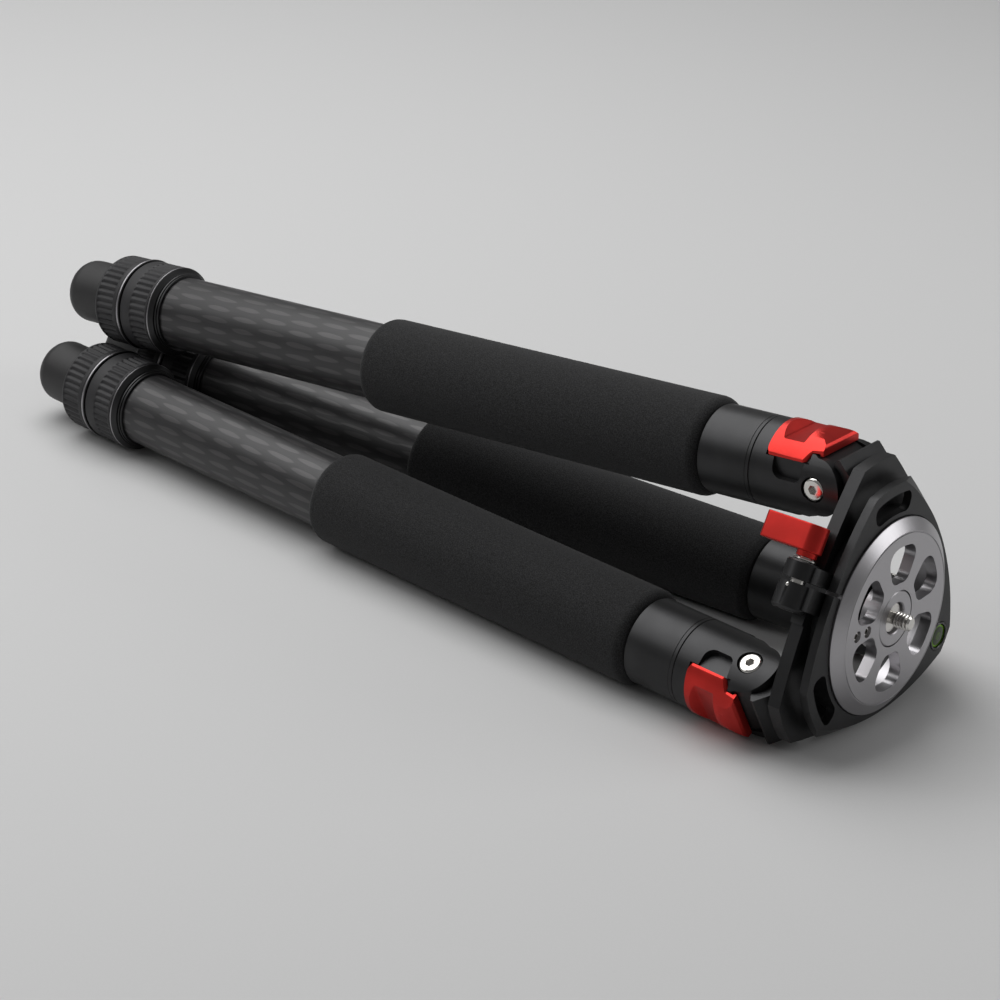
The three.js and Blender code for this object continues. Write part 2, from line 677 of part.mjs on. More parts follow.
function screwKnob() {
  const pts = [];
  for (let k = 0; k < 36; k += 1) {
    pts.push(polar(KNOB_R - (k % 3 === 0 ? KNOB_NOTCH : 0), 10 * k));
  }
  const grip = prismX(pts, KNOB_BACK, KNOB_FRONT);
  const boss = rod(KNOB_FRONT - 0.1, KNOB_BOSS_FRONT, KNOB_BOSS_R, 24);
  const bore = rod(-SCREW_BACK - 1, KNOB_BOSS_FRONT + 1, STUD_D / 2 - 0.3, 16);
  return grip.add(boss).subtract(bore);
}

// One corner of the shoulder: the lug for its leg and the angle stop
function shoulderCorner() {
  const round = [];
  for (let k = 0; k <= 10; k += 1) {
    const a = rad(90 + (205 * k) / 10);
    round.push([PIVOT_X + LUG_R * Math.cos(a), PIVOT_R + LUG_R * Math.sin(a)]);
  }
  round.push([REAR_BACK + 1, LUG_IN], [REAR_BACK + 1, LUG_OUT], [LUG_NECK, LUG_OUT]);
  const lug = prismY(round, -LUG_HALF_W, LUG_HALF_W);
  // The stop face is a plane through the pivot, reached by the latch tip at the first angle
  const tip = Math.asin(-LATCH_TIP / STOP_IN);
  const stop = rad(STOP_ANGLE) + tip;
  const outer = [PIVOT_X + STOP_OUT * Math.sin(stop), PIVOT_R + STOP_OUT * Math.cos(stop)];
  const section = [
    [REAR_BACK + 1, STEP_ROOT], [REAR_BACK + 1, STEP_TOP], [REAR_BACK - 0.3, STEP_TOP],
    [outer[0] + 1, outer[1]], outer,
  ];
  for (let k = 0; k <= 4; k += 1) {
    const a = stop + ((rad(80) - stop) * k) / 4;
    section.push([PIVOT_X + STOP_IN * Math.sin(a), PIVOT_R + STOP_IN * Math.cos(a)]);
  }
  const step = prismY(section, -STOP_HALF_W, STOP_HALF_W);
  const bore = pegY(PIVOT_X, PIVOT_R, BOLT_D / 2 + 0.25, -20, 20, 20);
  return lug.add(step).subtract(bore);
}

// Kidney-shaped window through the flange of a corner, leaving an arch
function cornerPocket() {
  const pts = [];
  for (let k = 0; k <= 4; k += 1) {
    pts.push(polar(POCKET_OUT, 90 - POCKET_HALF + (2 * POCKET_HALF * k) / 4));
  }
  for (let k = 0; k <= 4; k += 1) {
    pts.push(polar(POCKET_IN, 90 + POCKET_HALF - (2 * POCKET_HALF * k) / 4));
  }
  const radii = pts.map((_, i) => ([0, 4, 5, 9].includes(i) ? 3 : 0));
  return prismX(softCorners(pts, radii, 3), FLANGE_FRONT - POCKET_DEPTH, FLANGE_FRONT + 2);
}

// Clamp bosses are drawn with the split direction along +Z and the screw along Y, lever up +Y
function clampBosses() {
  const up = pegY(CLAMP_X, CLAMP_R, BOSS_UP_D / 2, SPLIT / 2, BOSS_UP, 24);
  const low = pegY(CLAMP_X, CLAMP_R, BOSS_LOW_D / 2, -BOSS_LOW, -SPLIT / 2, 24);
  const neck = block(CLAMP_X, -9.4, -9.5, 6.8, CORE_R - 2.5, CLAMP_R + 1.5);
  const tab = block(
    REAR_BACK, REAR_FRONT, -BOSS_LOW - 3.4, -BOSS_LOW + 2, CORE_R - 1, REAR_MID + 0.9,
  );
  return up.add(low).add(neck).add(tab);
}

function shoulder() {
  // On its plain sides the flange slopes back from a narrower front face
  const front = threeCorner(FLANGE_CORNER, FLANGE_CLAMP_SIDE, FLANGE_FRONT_SIDE);
  const back = threeCorner(FLANGE_CORNER, FLANGE_CLAMP_SIDE, FLANGE_BACK_SIDE);
  const rear = threeCorner(REAR_CORNER, REAR_CLAMP_SIDE, REAR_PLAIN_SIDE);
  let s = hullX(back, FLANGE_BACK, front, FLANGE_FRONT);
  s = s.add(rod(REAR_FRONT - 1, FLANGE_BACK + 1, CORE_R, 54));
  s = s.add(prismX(rear, REAR_BACK, REAR_FRONT));
  const corner = shoulderCorner();
  for (const l of LEGS) {
    s = s.add(spin(corner, l.dir - 90));
  }
  // Boss that holds the bubble level between the two plates
  const boss = rod(REAR_FRONT - 1, FLANGE_BACK + 1, LEVEL_D / 2 + LEVEL_WALL, 24);
  s = s.add(spin(boss.translate([0, 0, LEVEL_R]), LEVEL_DIR - 90));
  s = s.add(spin(clampBosses(), CLAMP_DIR - 90));
  // Seat of the top plate and the open bore behind it
  s = s.subtract(rod(-PLATE_RIM_BACK - GAP, 1, PLATE_R + 0.4, 54));
  s = s.subtract(rod(-30, 1, SPIGOT_R + 0.25, 54));
  for (const l of LEGS) {
    if (l.dir !== LEVEL_DIR) {
      const nearer = l.dir < CLAMP_DIR ? POCKET_TURN : -POCKET_TURN;
      s = s.subtract(spin(cornerPocket(), l.dir - 90 + nearer));
    }
  }
  const well = rod(FLANGE_FRONT - LEVEL_DEPTH, 1, LEVEL_D / 2 + 0.2, 20);
  s = s.subtract(spin(well.translate([0, 0, LEVEL_R]), LEVEL_DIR - 90));
  // Split of the clamp, its screw bore and the hole of the stop pin
  const slot = block(-40, 2, -SPLIT / 2, SPLIT / 2, 30, 70);
  const screw = pegY(CLAMP_X, CLAMP_R, CLAMP_BOLT_D / 2 + 0.25, 2 - BOSS_LOW, 20, 16);
  const pinHole = pegZ(CLAMP_X, PIN_Y, 1.2, CLAMP_R + 4.6, CLAMP_R + 12, 10);
  s = s.subtract(spin(slot.add(screw).add(pinHole), CLAMP_DIR - 90));
  return s;
}

function clampLever() {
  const y0 = BOSS_UP + WASHER_T + 2 * GAP + LEVER_STEM;
  const t = LEVER_T / 2;
  const pts = [[CLAMP_X - LEVER_LEN, CLAMP_R - t]];
  for (let k = 0; k <= 10; k += 1) {
    const a = rad(-90 + (180 * k) / 10);
    pts.push([CLAMP_X + t * Math.cos(a), CLAMP_R + t * Math.sin(a)]);
  }
  pts.push([CLAMP_X - LEVER_LEN, CLAMP_R + t]);
  const radii = pts.map((_, i) => (i === 0 || i === pts.length - 1 ? 1.2 : 0));
  let s = prismY(softCorners(pts, radii, 3), y0, y0 + LEVER_H);
  s = s.add(pegY(CLAMP_X, CLAMP_R, LEVER_STEM_D / 2, y0 - LEVER_STEM, y0 + 1, 20));
  s = s.subtract(pegY(CLAMP_X, CLAMP_R, CLAMP_BOLT_D / 2 + 0.25, y0 - 5, y0 + 7, 16));
  return spin(s, CLAMP_DIR - 90);
}

function clampWasher() {
  const y0 = BOSS_UP + GAP;
  let s = pegY(CLAMP_X, CLAMP_R, WASHER_D / 2, y0, y0 + WASHER_T, 20);
  s = s.subtract(pegY(CLAMP_X, CLAMP_R, CLAMP_BOLT_D / 2 + 0.3, y0 - 1, y0 + 3, 16));
  return spin(s, CLAMP_DIR - 90);
}

function clampBolt() {
  const top = BOSS_UP + WASHER_T + 2 * GAP + LEVER_STEM + 6.5;
  return spin(pegY(CLAMP_X, CLAMP_R, CLAMP_BOLT_D / 2, 2.4 - BOSS_LOW, top, 16), CLAMP_DIR - 90);
}

function stopPin() {
  const z = CLAMP_R + BOSS_LOW_D / 2 - 0.6;
  const s = pegZ(CLAMP_X, PIN_Y, 0.95, CLAMP_R + 4.9, z, 10);
  const g = new THREE.SphereGeometry(0.95, 10, 6);
  g.translate(CLAMP_X, PIN_Y, z);
  return spin(s.add(toSolid(g)), CLAMP_DIR - 90);
}

function levelBezel() {
  const back = FLANGE_FRONT - LEVEL_DEPTH + GAP;
  const s = turned([
    [back, 0], [back, LEVEL_D / 2], [FLANGE_FRONT + 0.3, LEVEL_D / 2],
    [FLANGE_FRONT + 0.3, LEVEL_D / 2 - 1], [back + 1.2, LEVEL_D / 2 - 1], [back + 1.2, 0],
  ], 20);
  return spin(s.translate([0, 0, LEVEL_R]), LEVEL_DIR - 90);
}

function levelVial() {
  const back = FLANGE_FRONT - LEVEL_DEPTH + 1.2 + 2 * GAP;
  const r = LEVEL_D / 2 - 1 - 0.2;
  const s = turned([
    [back, 0], [back, r], [FLANGE_FRONT - 0.5, r], [FLANGE_FRONT - 0.1, r * 0.6],
    [FLANGE_FRONT, 0],
  ], 20);
  return spin(s.translate([0, 0, LEVEL_R]), LEVEL_DIR - 90);
}

// ---------------------------------------------------------------- assembly
const tripod = new THREE.Group();

const head = new THREE.Group();
head.add(named("shoulder", shoulder(), BLACK_METAL));
head.add(named("top_plate", topPlate(), SATIN_METAL));
head.add(named("hub_insert", hubInsert(), SATIN_METAL));
head.add(named("mounting_screw", mountingScrew(), STEEL));
head.add(named("screw_knob", screwKnob(), BLACK_METAL));
head.add(named("grub_screw_inner", grubScrew(GRUB_R1), STEEL));
head.add(named("grub_screw_outer", grubScrew(GRUB_R2), STEEL));
head.add(named("clamp_lever", clampLever(), RED_METAL));
head.add(named("clamp_washer", clampWasher(), STEEL));
head.add(named("clamp_bolt", clampBolt(), STEEL));
head.add(named("stop_pin", stopPin(), STEEL));
head.add(named("level_bezel", levelBezel(), GLOSS_BLACK));
head.add(named("level_vial", levelVial(), FLUID));
tripod.add(head);

for (const l of LEGS) {
  const g = leg(l.tag);
  const out = new THREE.Vector3(0, Math.cos(rad(l.dir)), Math.sin(rad(l.dir)));
  const lean = rad(FOLD_ANGLE);
  const along = new THREE.Vector3(-Math.cos(lean), 0, 0).addScaledVector(out, -Math.sin(lean));
  const normal = out.clone().multiplyScalar(Math.cos(lean));
  normal.x = -Math.sin(lean);
  const across = new THREE.Vector3().crossVectors(normal, along);
  const m = new THREE.Matrix4().makeBasis(along, across, normal);
  m.setPosition(PIVOT_X, out.y * PIVOT_R, out.z * PIVOT_R);
  g.applyMatrix4(m);
  tripod.add(g);
}

// The set lies on the two lower grips and the lower twist collars, so the axis tips up a little
const lean = rad(FOLD_ANGLE);
const restHead = GRIP_START + GRIP_ROUND;
const restFoot = COLLAR1_START + 1;
const lowHead = -(PIVOT_R - restHead * Math.sin(lean)) / 2 - GRIP_D / 2;
const lowFoot = -(PIVOT_R - restFoot * Math.sin(lean)) / 2 - COLLAR_D / 2;
const tip = Math.atan2(lowFoot - lowHead, (restFoot - restHead) * Math.cos(lean));
tripod.rotation.y = -tip;

// Stand the whole on z = 0 with the middle of its footprint at the origin
const group = new THREE.Group();
group.add(tripod);
group.updateMatrixWorld(true);
const bounds = new THREE.Box3().setFromObject(group, true);
const middle = bounds.getCenter(new THREE.Vector3());
tripod.position.set(-middle.x, -middle.y, -bounds.min.z);
group.updateMatrixWorld(true);

export default group;
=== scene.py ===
"""Detailed visual model of a folded tripod leg set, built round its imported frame.

Meshes are in metres, and the sizes of profiles and outlines are written in millimetres. The head
is shaped about the X axis of its own frame, with its origin just in front of the plate, and each
leg along the X axis of a leg frame, with Z pointing away from the tripod.
"""

import json
import math

import bpy
from bpy.props import FloatProperty, FloatVectorProperty, IntProperty, PointerProperty
from mathutils import Matrix, Vector


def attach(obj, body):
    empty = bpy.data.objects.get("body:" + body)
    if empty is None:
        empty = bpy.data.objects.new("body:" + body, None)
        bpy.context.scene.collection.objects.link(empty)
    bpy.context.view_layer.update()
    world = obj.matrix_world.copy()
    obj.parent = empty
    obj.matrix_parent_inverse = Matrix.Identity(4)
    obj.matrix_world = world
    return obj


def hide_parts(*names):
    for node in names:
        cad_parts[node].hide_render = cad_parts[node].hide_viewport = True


bl_info = {
    "name": "Tripod leg set",
    "version": (1, 0, 0),
    "blender": (4, 5, 0),
    "location": "3D View > Sidebar > Tripod",
    "description": "Builds the detailed pieces and finishes of a folded three-section leg set",
    "category": "Object",
}

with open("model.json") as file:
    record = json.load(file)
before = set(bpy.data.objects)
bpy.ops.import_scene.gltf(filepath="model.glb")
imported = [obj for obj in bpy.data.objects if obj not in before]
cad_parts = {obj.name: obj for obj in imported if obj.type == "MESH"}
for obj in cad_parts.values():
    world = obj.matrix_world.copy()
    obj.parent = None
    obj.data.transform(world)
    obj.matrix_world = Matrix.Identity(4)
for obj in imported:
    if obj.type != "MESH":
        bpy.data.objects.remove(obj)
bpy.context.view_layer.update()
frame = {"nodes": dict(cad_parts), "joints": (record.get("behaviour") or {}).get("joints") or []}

MM = 0.001  # one millimetre in metres
FULL = 2 * math.pi
TOUCH = 2e-6  # points closer than this are one point
CLEAR = 0.3  # running clearance between neighbouring pieces, in millimetres
FIT = 0.15  # clearance of a fixed fit, in millimetres


# ------------------------------------------------------------------ frames and measures
def joint(name):
    """The record's row for a joint."""
    for row in frame["joints"]:
        if row["name"] == name:
            return row
    raise KeyError(f"the record has no joint {name}")


def frame_of(origin, x_axis, z_axis):
    """Placement with the given origin, X axis and Z axis."""
    x = Vector(x_axis).normalized()
    y = Vector(z_axis).cross(x).normalized()
    z = x.cross(y)
    turn = Matrix((x, y, z)).transposed().to_4x4()
    return Matrix.Translation(Vector(origin)) @ turn


def about_x(degrees):
    return Matrix.Rotation(math.radians(degrees), 4, "X")


AXIS_X = Vector(joint("plate_lift")["axis"])
HEAD = frame_of(joint("screw_turn")["pos_m"], AXIS_X, AXIS_X.cross(Vector((0, 1, 0))))
LEG_DIRECTIONS = {"A": 90, "B": 210, "C": 330}
LEGS = {
    tag: frame_of(
        joint(f"leg_{tag}_spread")["pos_m"],
        joint(f"upper_collar_{tag}_twist")["axis"],
        joint(f"latch_{tag}_pull")["axis"],
    )
    for tag in LEG_DIRECTIONS
}
CLAMP_DIRECTION = 150
CLAMP_TURN = about_x(CLAMP_DIRECTION - 90)  # from the head's +Z to the clamp
LEVEL_TURN = about_x(LEG_DIRECTIONS["C"] - 90)
LEVEL_PLACE = LEVEL_TURN @ Matrix.Translation((0, 0, 46.5 * MM))

# Sizes that two pieces share, in millimetres
CLAMP_X, CLAMP_Z = -18.0, 50.2  # the clamp's bolt, with the split along +Z
CLAMP_BORE = 2.75
CLAMP_FACE = 7.5  # outer face of the boss under the lever
CLAMP_BOSS = 6.4  # radius of the boss with the stop pin
STOP_PIN_Y = -2.1
LATCH_PIN_X, LATCH_PIN_BORE = 17.5, 2.8
GRUBS = {"inner": 19.2, "outer": 26.2}  # distance of each grub screw from the axis


class Span:
    """Where a CAD node lies along a frame's X axis and how far it reaches, in millimetres."""

    def __init__(self, node, place):
        back = place.inverted()
        points = [back @ vertex.co for vertex in frame["nodes"][node].data.vertices]
        self.start = min(p.x for p in points) / MM
        self.end = max(p.x for p in points) / MM
        self.radius = max(math.hypot(p.y, p.z) for p in points) / MM


def leg_span(node):
    return Span(f"{node}_A", LEGS["A"])


# ------------------------------------------------------------------ modelling helpers
def pick(piece):
    """Makes one piece the only selected and active one."""
    bpy.ops.object.select_all(action="DESELECT")
    piece.select_set(True)
    bpy.context.view_layer.objects.active = piece


def open_mesh(piece):
    """Enters edit mode on one piece with every point selected."""
    pick(piece)
    bpy.ops.object.mode_set(mode="EDIT")
    bpy.context.tool_settings.mesh_select_mode = (True, False, False)
    bpy.ops.mesh.select_all(action="SELECT")


def close_mesh():
    bpy.ops.object.mode_set(mode="OBJECT")


def move(step):
    return {"value": tuple(step)}


def drawn(name, points):
    """Extrudes one point along a path, and stays in edit mode with the path selected."""
    bpy.ops.object.select_all(action="DESELECT")
    bpy.ops.mesh.primitive_plane_add(size=MM, location=(0, 0, 0))
    piece = bpy.context.active_object
    piece.name = piece.data.name = name
    open_mesh(piece)
    bpy.ops.mesh.merge(type="CENTER")
    bpy.ops.transform.translate(value=tuple(points[0]))
    for here, there in zip(points, points[1:]):
        step = Vector(there) - Vector(here)
        bpy.ops.mesh.extrude_region_move(TRANSFORM_OT_translate=move(step))
    bpy.ops.mesh.select_all(action="SELECT")
    return piece


def sealed():
    """Merges meeting points of the open mesh and points its faces outwards."""
    bpy.ops.mesh.select_all(action="SELECT")
    bpy.ops.mesh.remove_doubles(threshold=TOUCH)
    bpy.ops.mesh.normals_make_consistent(inside=False)
    close_mesh()


def turned(name, profile, steps, ring=False):
    """A piece turned about the X axis from (x, radius) points in millimetres."""
    path = list(profile) + ([profile[0]] if ring else [])
    piece = drawn(name, [Vector((x * MM, 0, r * MM)) for x, r in path])
    bpy.ops.mesh.spin(steps=steps, angle=FULL, center=(0, 0, 0), axis=(1, 0, 0))
    sealed()
    return piece


LAYOUTS = {
    "X": lambda a, b, h: Vector((h, a, b)) * MM,
    "Y": lambda a, b, h: Vector((a, h, b)) * MM,
    "Z": lambda a, b, h: Vector((a, b, h)) * MM,
}


def prism(name, outline, axis, low, high):
    """A flat outline in millimetres, extruded along an axis from low to high."""
    layout = LAYOUTS[axis]
    loop = [layout(a, b, low) for a, b in outline]
    piece = drawn(name, loop + [loop[0]])
    bpy.ops.mesh.remove_doubles(threshold=TOUCH)
    bpy.ops.mesh.edge_face_add()
    bpy.ops.mesh.select_all(action="SELECT")
    rise = layout(0, 0, high) - layout(0, 0, low)
    bpy.ops.mesh.extrude_region_move(TRANSFORM_OT_translate=move(rise))
    sealed()
    return piece


def block(name, low, high):
    """A box between two corners in millimetres."""
    outline = [(low[0], low[1]), (high[0], low[1]), (high[0], high[1]), (low[0], high[1])]
    return prism(name, outline, "Z", low[2], high[2])


def rod(name, x0, x1, radius, steps=64):
    return turned(name, [(x0, 0), (x0, radius), (x1, radius), (x1, 0)], steps)


def settle(piece, place):
    """Applies a placement to the piece's own mesh."""
    piece.matrix_world = place
    pick(piece)
    bpy.ops.object.transform_apply(location=True, rotation=True, scale=True)
    return piece


def across(piece, x, z):
    """Lays a piece turned about X along Y, through a point of the XZ plane."""
    turn = Matrix.Rotation(math.pi / 2, 4, "Z")
    return settle(piece, Matrix.Translation(Vector((x, 0, z)) * MM) @ turn)


def peg(name, x, z, radius, y0, y1, steps=64):
    """A cylinder along Y."""
    return across(rod(name, y0, y1, radius, steps), x, z)


def upright(piece, x, y):
    """Stands a piece turned about X along Z, through a point of the XY plane."""
    turn = Matrix.Rotation(-math.pi / 2, 4, "Y")
    return settle(piece, Matrix.Translation(Vector((x, y, 0)) * MM) @ turn)


def stud_z(name, x, y, radius, z0, z1, steps=32):
    """A cylinder along Z."""
    return upright(rod(name, z0, z1, radius, steps), x, y)


def round_axis(degrees, radius):
    """A step away from the X axis, in millimetres."""
    turn = math.radians(degrees)
    return Matrix.Translation(Vector((0, math.cos(turn), math.sin(turn))) * radius * MM)


def twin(piece):
    """A copy with its own mesh."""
    pick(piece)
    bpy.ops.object.duplicate(linked=False)
    return bpy.context.active_object


def combine(piece, other, operation):
    """Joins, cuts or keeps what two solids share, and uses the other one up."""
    pick(piece)
    step = piece.modifiers.new("combine", "BOOLEAN")
    step.operation = operation
    step.solver = "EXACT"
    step.object = other
    bpy.ops.object.modifier_apply(modifier=step.name)
    bpy.data.objects.remove(other)
    return piece


def cut(piece, *others):
    for other in others:
        combine(piece, other, "DIFFERENCE")
    return piece


def add(piece, *others):
    for other in others:
        combine(piece, other, "UNION")
    return piece


def keep(piece, other):
    return combine(piece, other, "INTERSECT")


def tidy(piece, angle=0.5):
    """Merges stray points and straightens flat faces left by cuts."""
    open_mesh(piece)
    bpy.ops.mesh.remove_doubles(threshold=TOUCH)
    bpy.ops.mesh.dissolve_limited(angle_limit=math.radians(angle))
    close_mesh()


def soften(piece, width, segments=2, limit=30):
    """Rounds the edges sharper than the limit, in millimetres and degrees."""
    pick(piece)
    step = piece.modifiers.new("soften", "BEVEL")
    step.width = width * MM
    step.segments = segments
    step.limit_method = "ANGLE"
    step.angle_limit = math.radians(limit)
    step.use_clamp_overlap = True
    step.miter_outer = "MITER_ARC"
    bpy.ops.object.modifier_apply(modifier=step.name)
    open_mesh(piece)
    sealed()


def shade(piece, angle=35):
    """Smooth shading that keeps flat faces flat and edges above the angle crisp."""
    pick(piece)
    bpy.ops.object.shade_smooth_by_angle(angle=math.radians(angle))
    step = piece.modifiers.new("even", "WEIGHTED_NORMAL")
    step.keep_sharp = True
    bpy.ops.object.modifier_apply(modifier=step.name)


def dress(piece, width, limit=30, angle=35):
    """Cleans a cut piece, rounds its edges and shades it."""
    tidy(piece)
    soften(piece, width, limit=limit)
    shade(piece, angle)


def straight(x0, x1, radius, steps):
    """Points along a plain stretch of a profile, without its two ends."""
    return [(x0 + (x1 - x0) * step / steps, radius) for step in range(1, steps)]


def rounded(points, radii, steps=6):
    """An outline with an arc at each corner whose radius isn't 0."""
    out = []
    for index, radius in enumerate(radii):
        corner = Vector(points[index])
        if not radius:
            out.append(tuple(corner))
            continue
        back = (Vector(points[index - 1]) - corner).normalized()
        ahead = (Vector(points[(index + 1) % len(points)]) - corner).normalized()
        half = back.angle(ahead) / 2
        centre = corner + (back + ahead).normalized() * (radius / math.sin(half))
        first = corner + back * (radius / math.tan(half)) - centre
        sweep = first.angle_signed(corner + ahead * (radius / math.tan(half)) - centre)
        for step in range(steps + 1):
            turn = -sweep * step / steps
            c, s = math.cos(turn), math.sin(turn)
            out.append((centre.x + c * first.x - s * first.y, centre.y + s * first.x + c * first.y))
    return out


def arc(radius, start, end, steps, centre=(0, 0)):
    """Points of an arc between two directions in degrees."""
    points = []
    for step in range(steps + 1):
        angle = math.radians(start + (end - start) * step / steps)
        points.append((centre[0] + radius * math.cos(angle), centre[1] + radius * math.sin(angle)))
    return points


def fan(inner, inner_half, outer, outer_half, inner_round, outer_round, middle=0, steps=8):
    """A fan-shaped outline between two arcs, with rounded corners, about a middle direction."""
    low = Vector((math.cos(math.radians(inner_half)), math.sin(math.radians(inner_half)))) * inner
    high = Vector((math.cos(math.radians(outer_half)), math.sin(math.radians(outer_half)))) * outer
    along = (high - low).normalized()
    inward = Vector((along.y, -along.x))

    def corner(reach, radius):
        base = low + inward * radius
        half = base.dot(along)
        root = math.sqrt(half * half - base.length_squared + reach * reach)
        return base + along * (-half + root)

    far = corner(outer - outer_round, outer_round)
    near = corner(inner + inner_round, inner_round)
    side = math.degrees(math.atan2(-inward.y, -inward.x))
    far_turn = math.degrees(math.atan2(far.y, far.x))
    near_turn = math.degrees(math.atan2(near.y, near.x))
    upper = arc(outer, 0, far_turn, steps)[:-1]
    upper += arc(outer_round, far_turn, side, steps, far)
    upper += arc(inner_round, side, near_turn + 180, steps, near)
    upper += arc(inner, near_turn, 0, steps // 2)[1:]
    lower = [(x, -y) for x, y in reversed(upper[1:-1])]
    c, s = math.cos(math.radians(middle)), math.sin(math.radians(middle))
    return [(c * x - s * y, s * x + c * y) for x, y in upper + lower]


# ------------------------------------------------------------------ shader helpers
class Value:
    """One number in a material, so that maths on it reads as an expression."""

    def __init__(self, look, socket):
        self.look = look
        self.socket = socket

    def __add__(self, other):
        return self.look.maths("ADD", self, other)

    __radd__ = __add__

    def __mul__(self, other):
        return self.look.maths("MULTIPLY", self, other)

    __rmul__ = __mul__

    def __sub__(self, other):
        return self.look.maths("SUBTRACT", self, other)

    def __rsub__(self, other):
        return self.look.maths("SUBTRACT", other, self)

    def __abs__(self):
        return self.look.maths("ABSOLUTE", self)


class Nodes:
    """The node tree of a material or a world."""

    def __init__(self, owner):
        owner.use_nodes = True
        self.tree = owner.node_tree
        self.tree.nodes.clear()

    def feed(self, socket, value):
        if isinstance(value, Value):
            value = value.socket
        if isinstance(value, bpy.types.NodeSocket):
            self.tree.links.new(value, socket)
        else:
            socket.default_value = value

    def node(self, kind, settings=None, values=None):
        """Adds a node, with its settings first and then its sockets' values or links."""
        made = self.tree.nodes.new(kind)
        for key, value in (settings or {}).items():
            setattr(made, key, value)
        for key, value in (values or {}).items():
            self.feed(made.inputs[key], value)
        return made


class Look(Nodes):
    """A material, and the surface shader that its nodes feed."""

    def __init__(self, name):
        self.material = bpy.data.materials.new(name)
        super().__init__(self.material)
        self.surface = self.node("ShaderNodeBsdfPrincipled")
        self.node("ShaderNodeOutputMaterial", values={"Surface": self.surface.outputs["BSDF"]})

    def maths(self, operation, *terms):
        made = self.node("ShaderNodeMath", {"operation": operation}, dict(enumerate(terms)))
        return Value(self, made.outputs[0])

    def set(self, **values):
        """Feeds the surface shader's sockets, named with _ for a space."""
        for key, value in values.items():
            self.feed(self.surface.inputs[key.replace("_", " ")], value)

    def object_point(self):
        return self.node("ShaderNodeTexCoord").outputs["Object"]

    def place(self):
        """The point in the frame that the piece was shaped in."""
        settings = {"attribute_type": "GEOMETRY", "attribute_name": "place"}
        return self.node("ShaderNodeAttribute", settings).outputs["Vector"]

    def parts(self, vector):
        made = self.node("ShaderNodeSeparateXYZ", values={0: vector})
        return [Value(self, socket) for socket in made.outputs]

    def turning(self):
        """How far along the X axis of the piece's own frame, and how far from that axis."""
        x, y, z = self.parts(self.place())
        return x, self.maths("SQRT", y * y + z * z)

    def vector(self, x, y, z):
        return self.node("ShaderNodeCombineXYZ", values={0: x, 1: y, 2: z}).outputs[0]

    def noise(self, vector, scale, detail=2.0, roughness=0.5):
        values = {"Vector": vector, "Scale": scale, "Detail": detail, "Roughness": roughness}
        return Value(self, self.node("ShaderNodeTexNoise", values=values).outputs[0])

    def cells(self, vector, scale):
        values = {"Vector": vector, "Scale": scale}
        return Value(self, self.node("ShaderNodeTexVoronoi", values=values).outputs["Distance"])

    def ease(self, value, low, high, out_low=0.0, out_high=1.0):
        """Smooth step of a value between two limits."""
        settings = {"interpolation_type": "SMOOTHSTEP"}
        values = {0: value, 1: low, 2: high, 3: out_low, 4: out_high}
        return Value(self, self.node("ShaderNodeMapRange", settings, values).outputs[0])

    def mix(self, factor, first, second):
        """Blend of two colours."""
        values = {0: factor, 6: first, 7: second}
        return self.node("ShaderNodeMix", {"data_type": "RGBA"}, values).outputs[2]

    def relief(self, height, distance, strength=1.0):
        """Bumps of a height pattern, at most the distance deep in metres."""
        values = {"Height": height, "Distance": distance, "Strength": strength}
        self.set(Normal=self.node("ShaderNodeBump", values=values).outputs["Normal"])


def paint(colour, scale=1.0):
    """A colour property as a shader colour, made darker or lighter by a factor."""
    return tuple(min(1.0, channel * scale) for channel in colour) + (1.0,)


# ------------------------------------------------------------------ finishes
def grained(name, tones, rough, grain, cloud=None, spread=None, bumps=None, **fixed):
    """A finish with fine grain all over, and with softer clouds where it has any.

    Tones are the darkest and lightest shares of the colour, rough the roughness with what grain
    and cloud add to it, and bumps the depth in millimetres and the strength.
    """

    def finish(look, colours):
        point = look.object_point()
        fine = look.noise(point, *grain)
        wide = look.noise(point, *cloud) if cloud else fine
        share = look.ease(wide, *spread) if spread else wide
        dark, light = (paint(getattr(colours, name), tone) for tone in tones)
        roughness = rough[0] + rough[1] * fine
        if len(rough) > 2:
            roughness = roughness + rough[2] * wide
        look.set(Base_Color=look.mix(share, dark, light), Roughness=roughness, **fixed)
        if bumps:
            look.relief(fine, bumps[0] * MM, bumps[1])

    return finish


def rimmed_alloy(rim):
    """Black alloy with a painted highlight along its rim, outside a radius in millimetres."""

    def finish(look, colours):
        radius = look.turning()[1]
        # Painted highlight: outside the rim radius the colour turns to a light satin, standing in
        # for light caught on the edge
        rim_highlight = look.ease(radius, (rim - 0.06) * MM, (rim + 0.02) * MM)
        grain = look.noise(look.object_point(), 4200, 3, 0.6)
        black = look.mix(grain, paint(colours.black_alloy, 0.88), paint(colours.black_alloy, 1.12))
        look.set(
            Base_Color=look.mix(rim_highlight, black, paint(colours.satin_alloy, 0.75)),
            Metallic=0.85 + 0.15 * rim_highlight,
            Roughness=0.35 + 0.10 * grain - 0.05 * rim_highlight,
        )
        look.relief(grain, 0.03 * MM, 0.35)

    return finish


def satin_alloy(look, colours):
    x, radius = look.turning()
    rings = look.noise(look.vector(radius * 5200, x * 5200, 0.0), 1.0, 2)
    grain = look.noise(look.object_point(), 5200, 2)
    dark, light = paint(colours.satin_alloy, 0.94), paint(colours.satin_alloy, 1.06)
    look.set(
        Base_Color=look.mix(rings, dark, light),
        Metallic=1.0,
        Roughness=0.27 + 0.08 * rings + 0.06 * grain,
    )
    look.relief(0.6 * rings + 0.4 * grain, 0.02 * MM, 0.35)


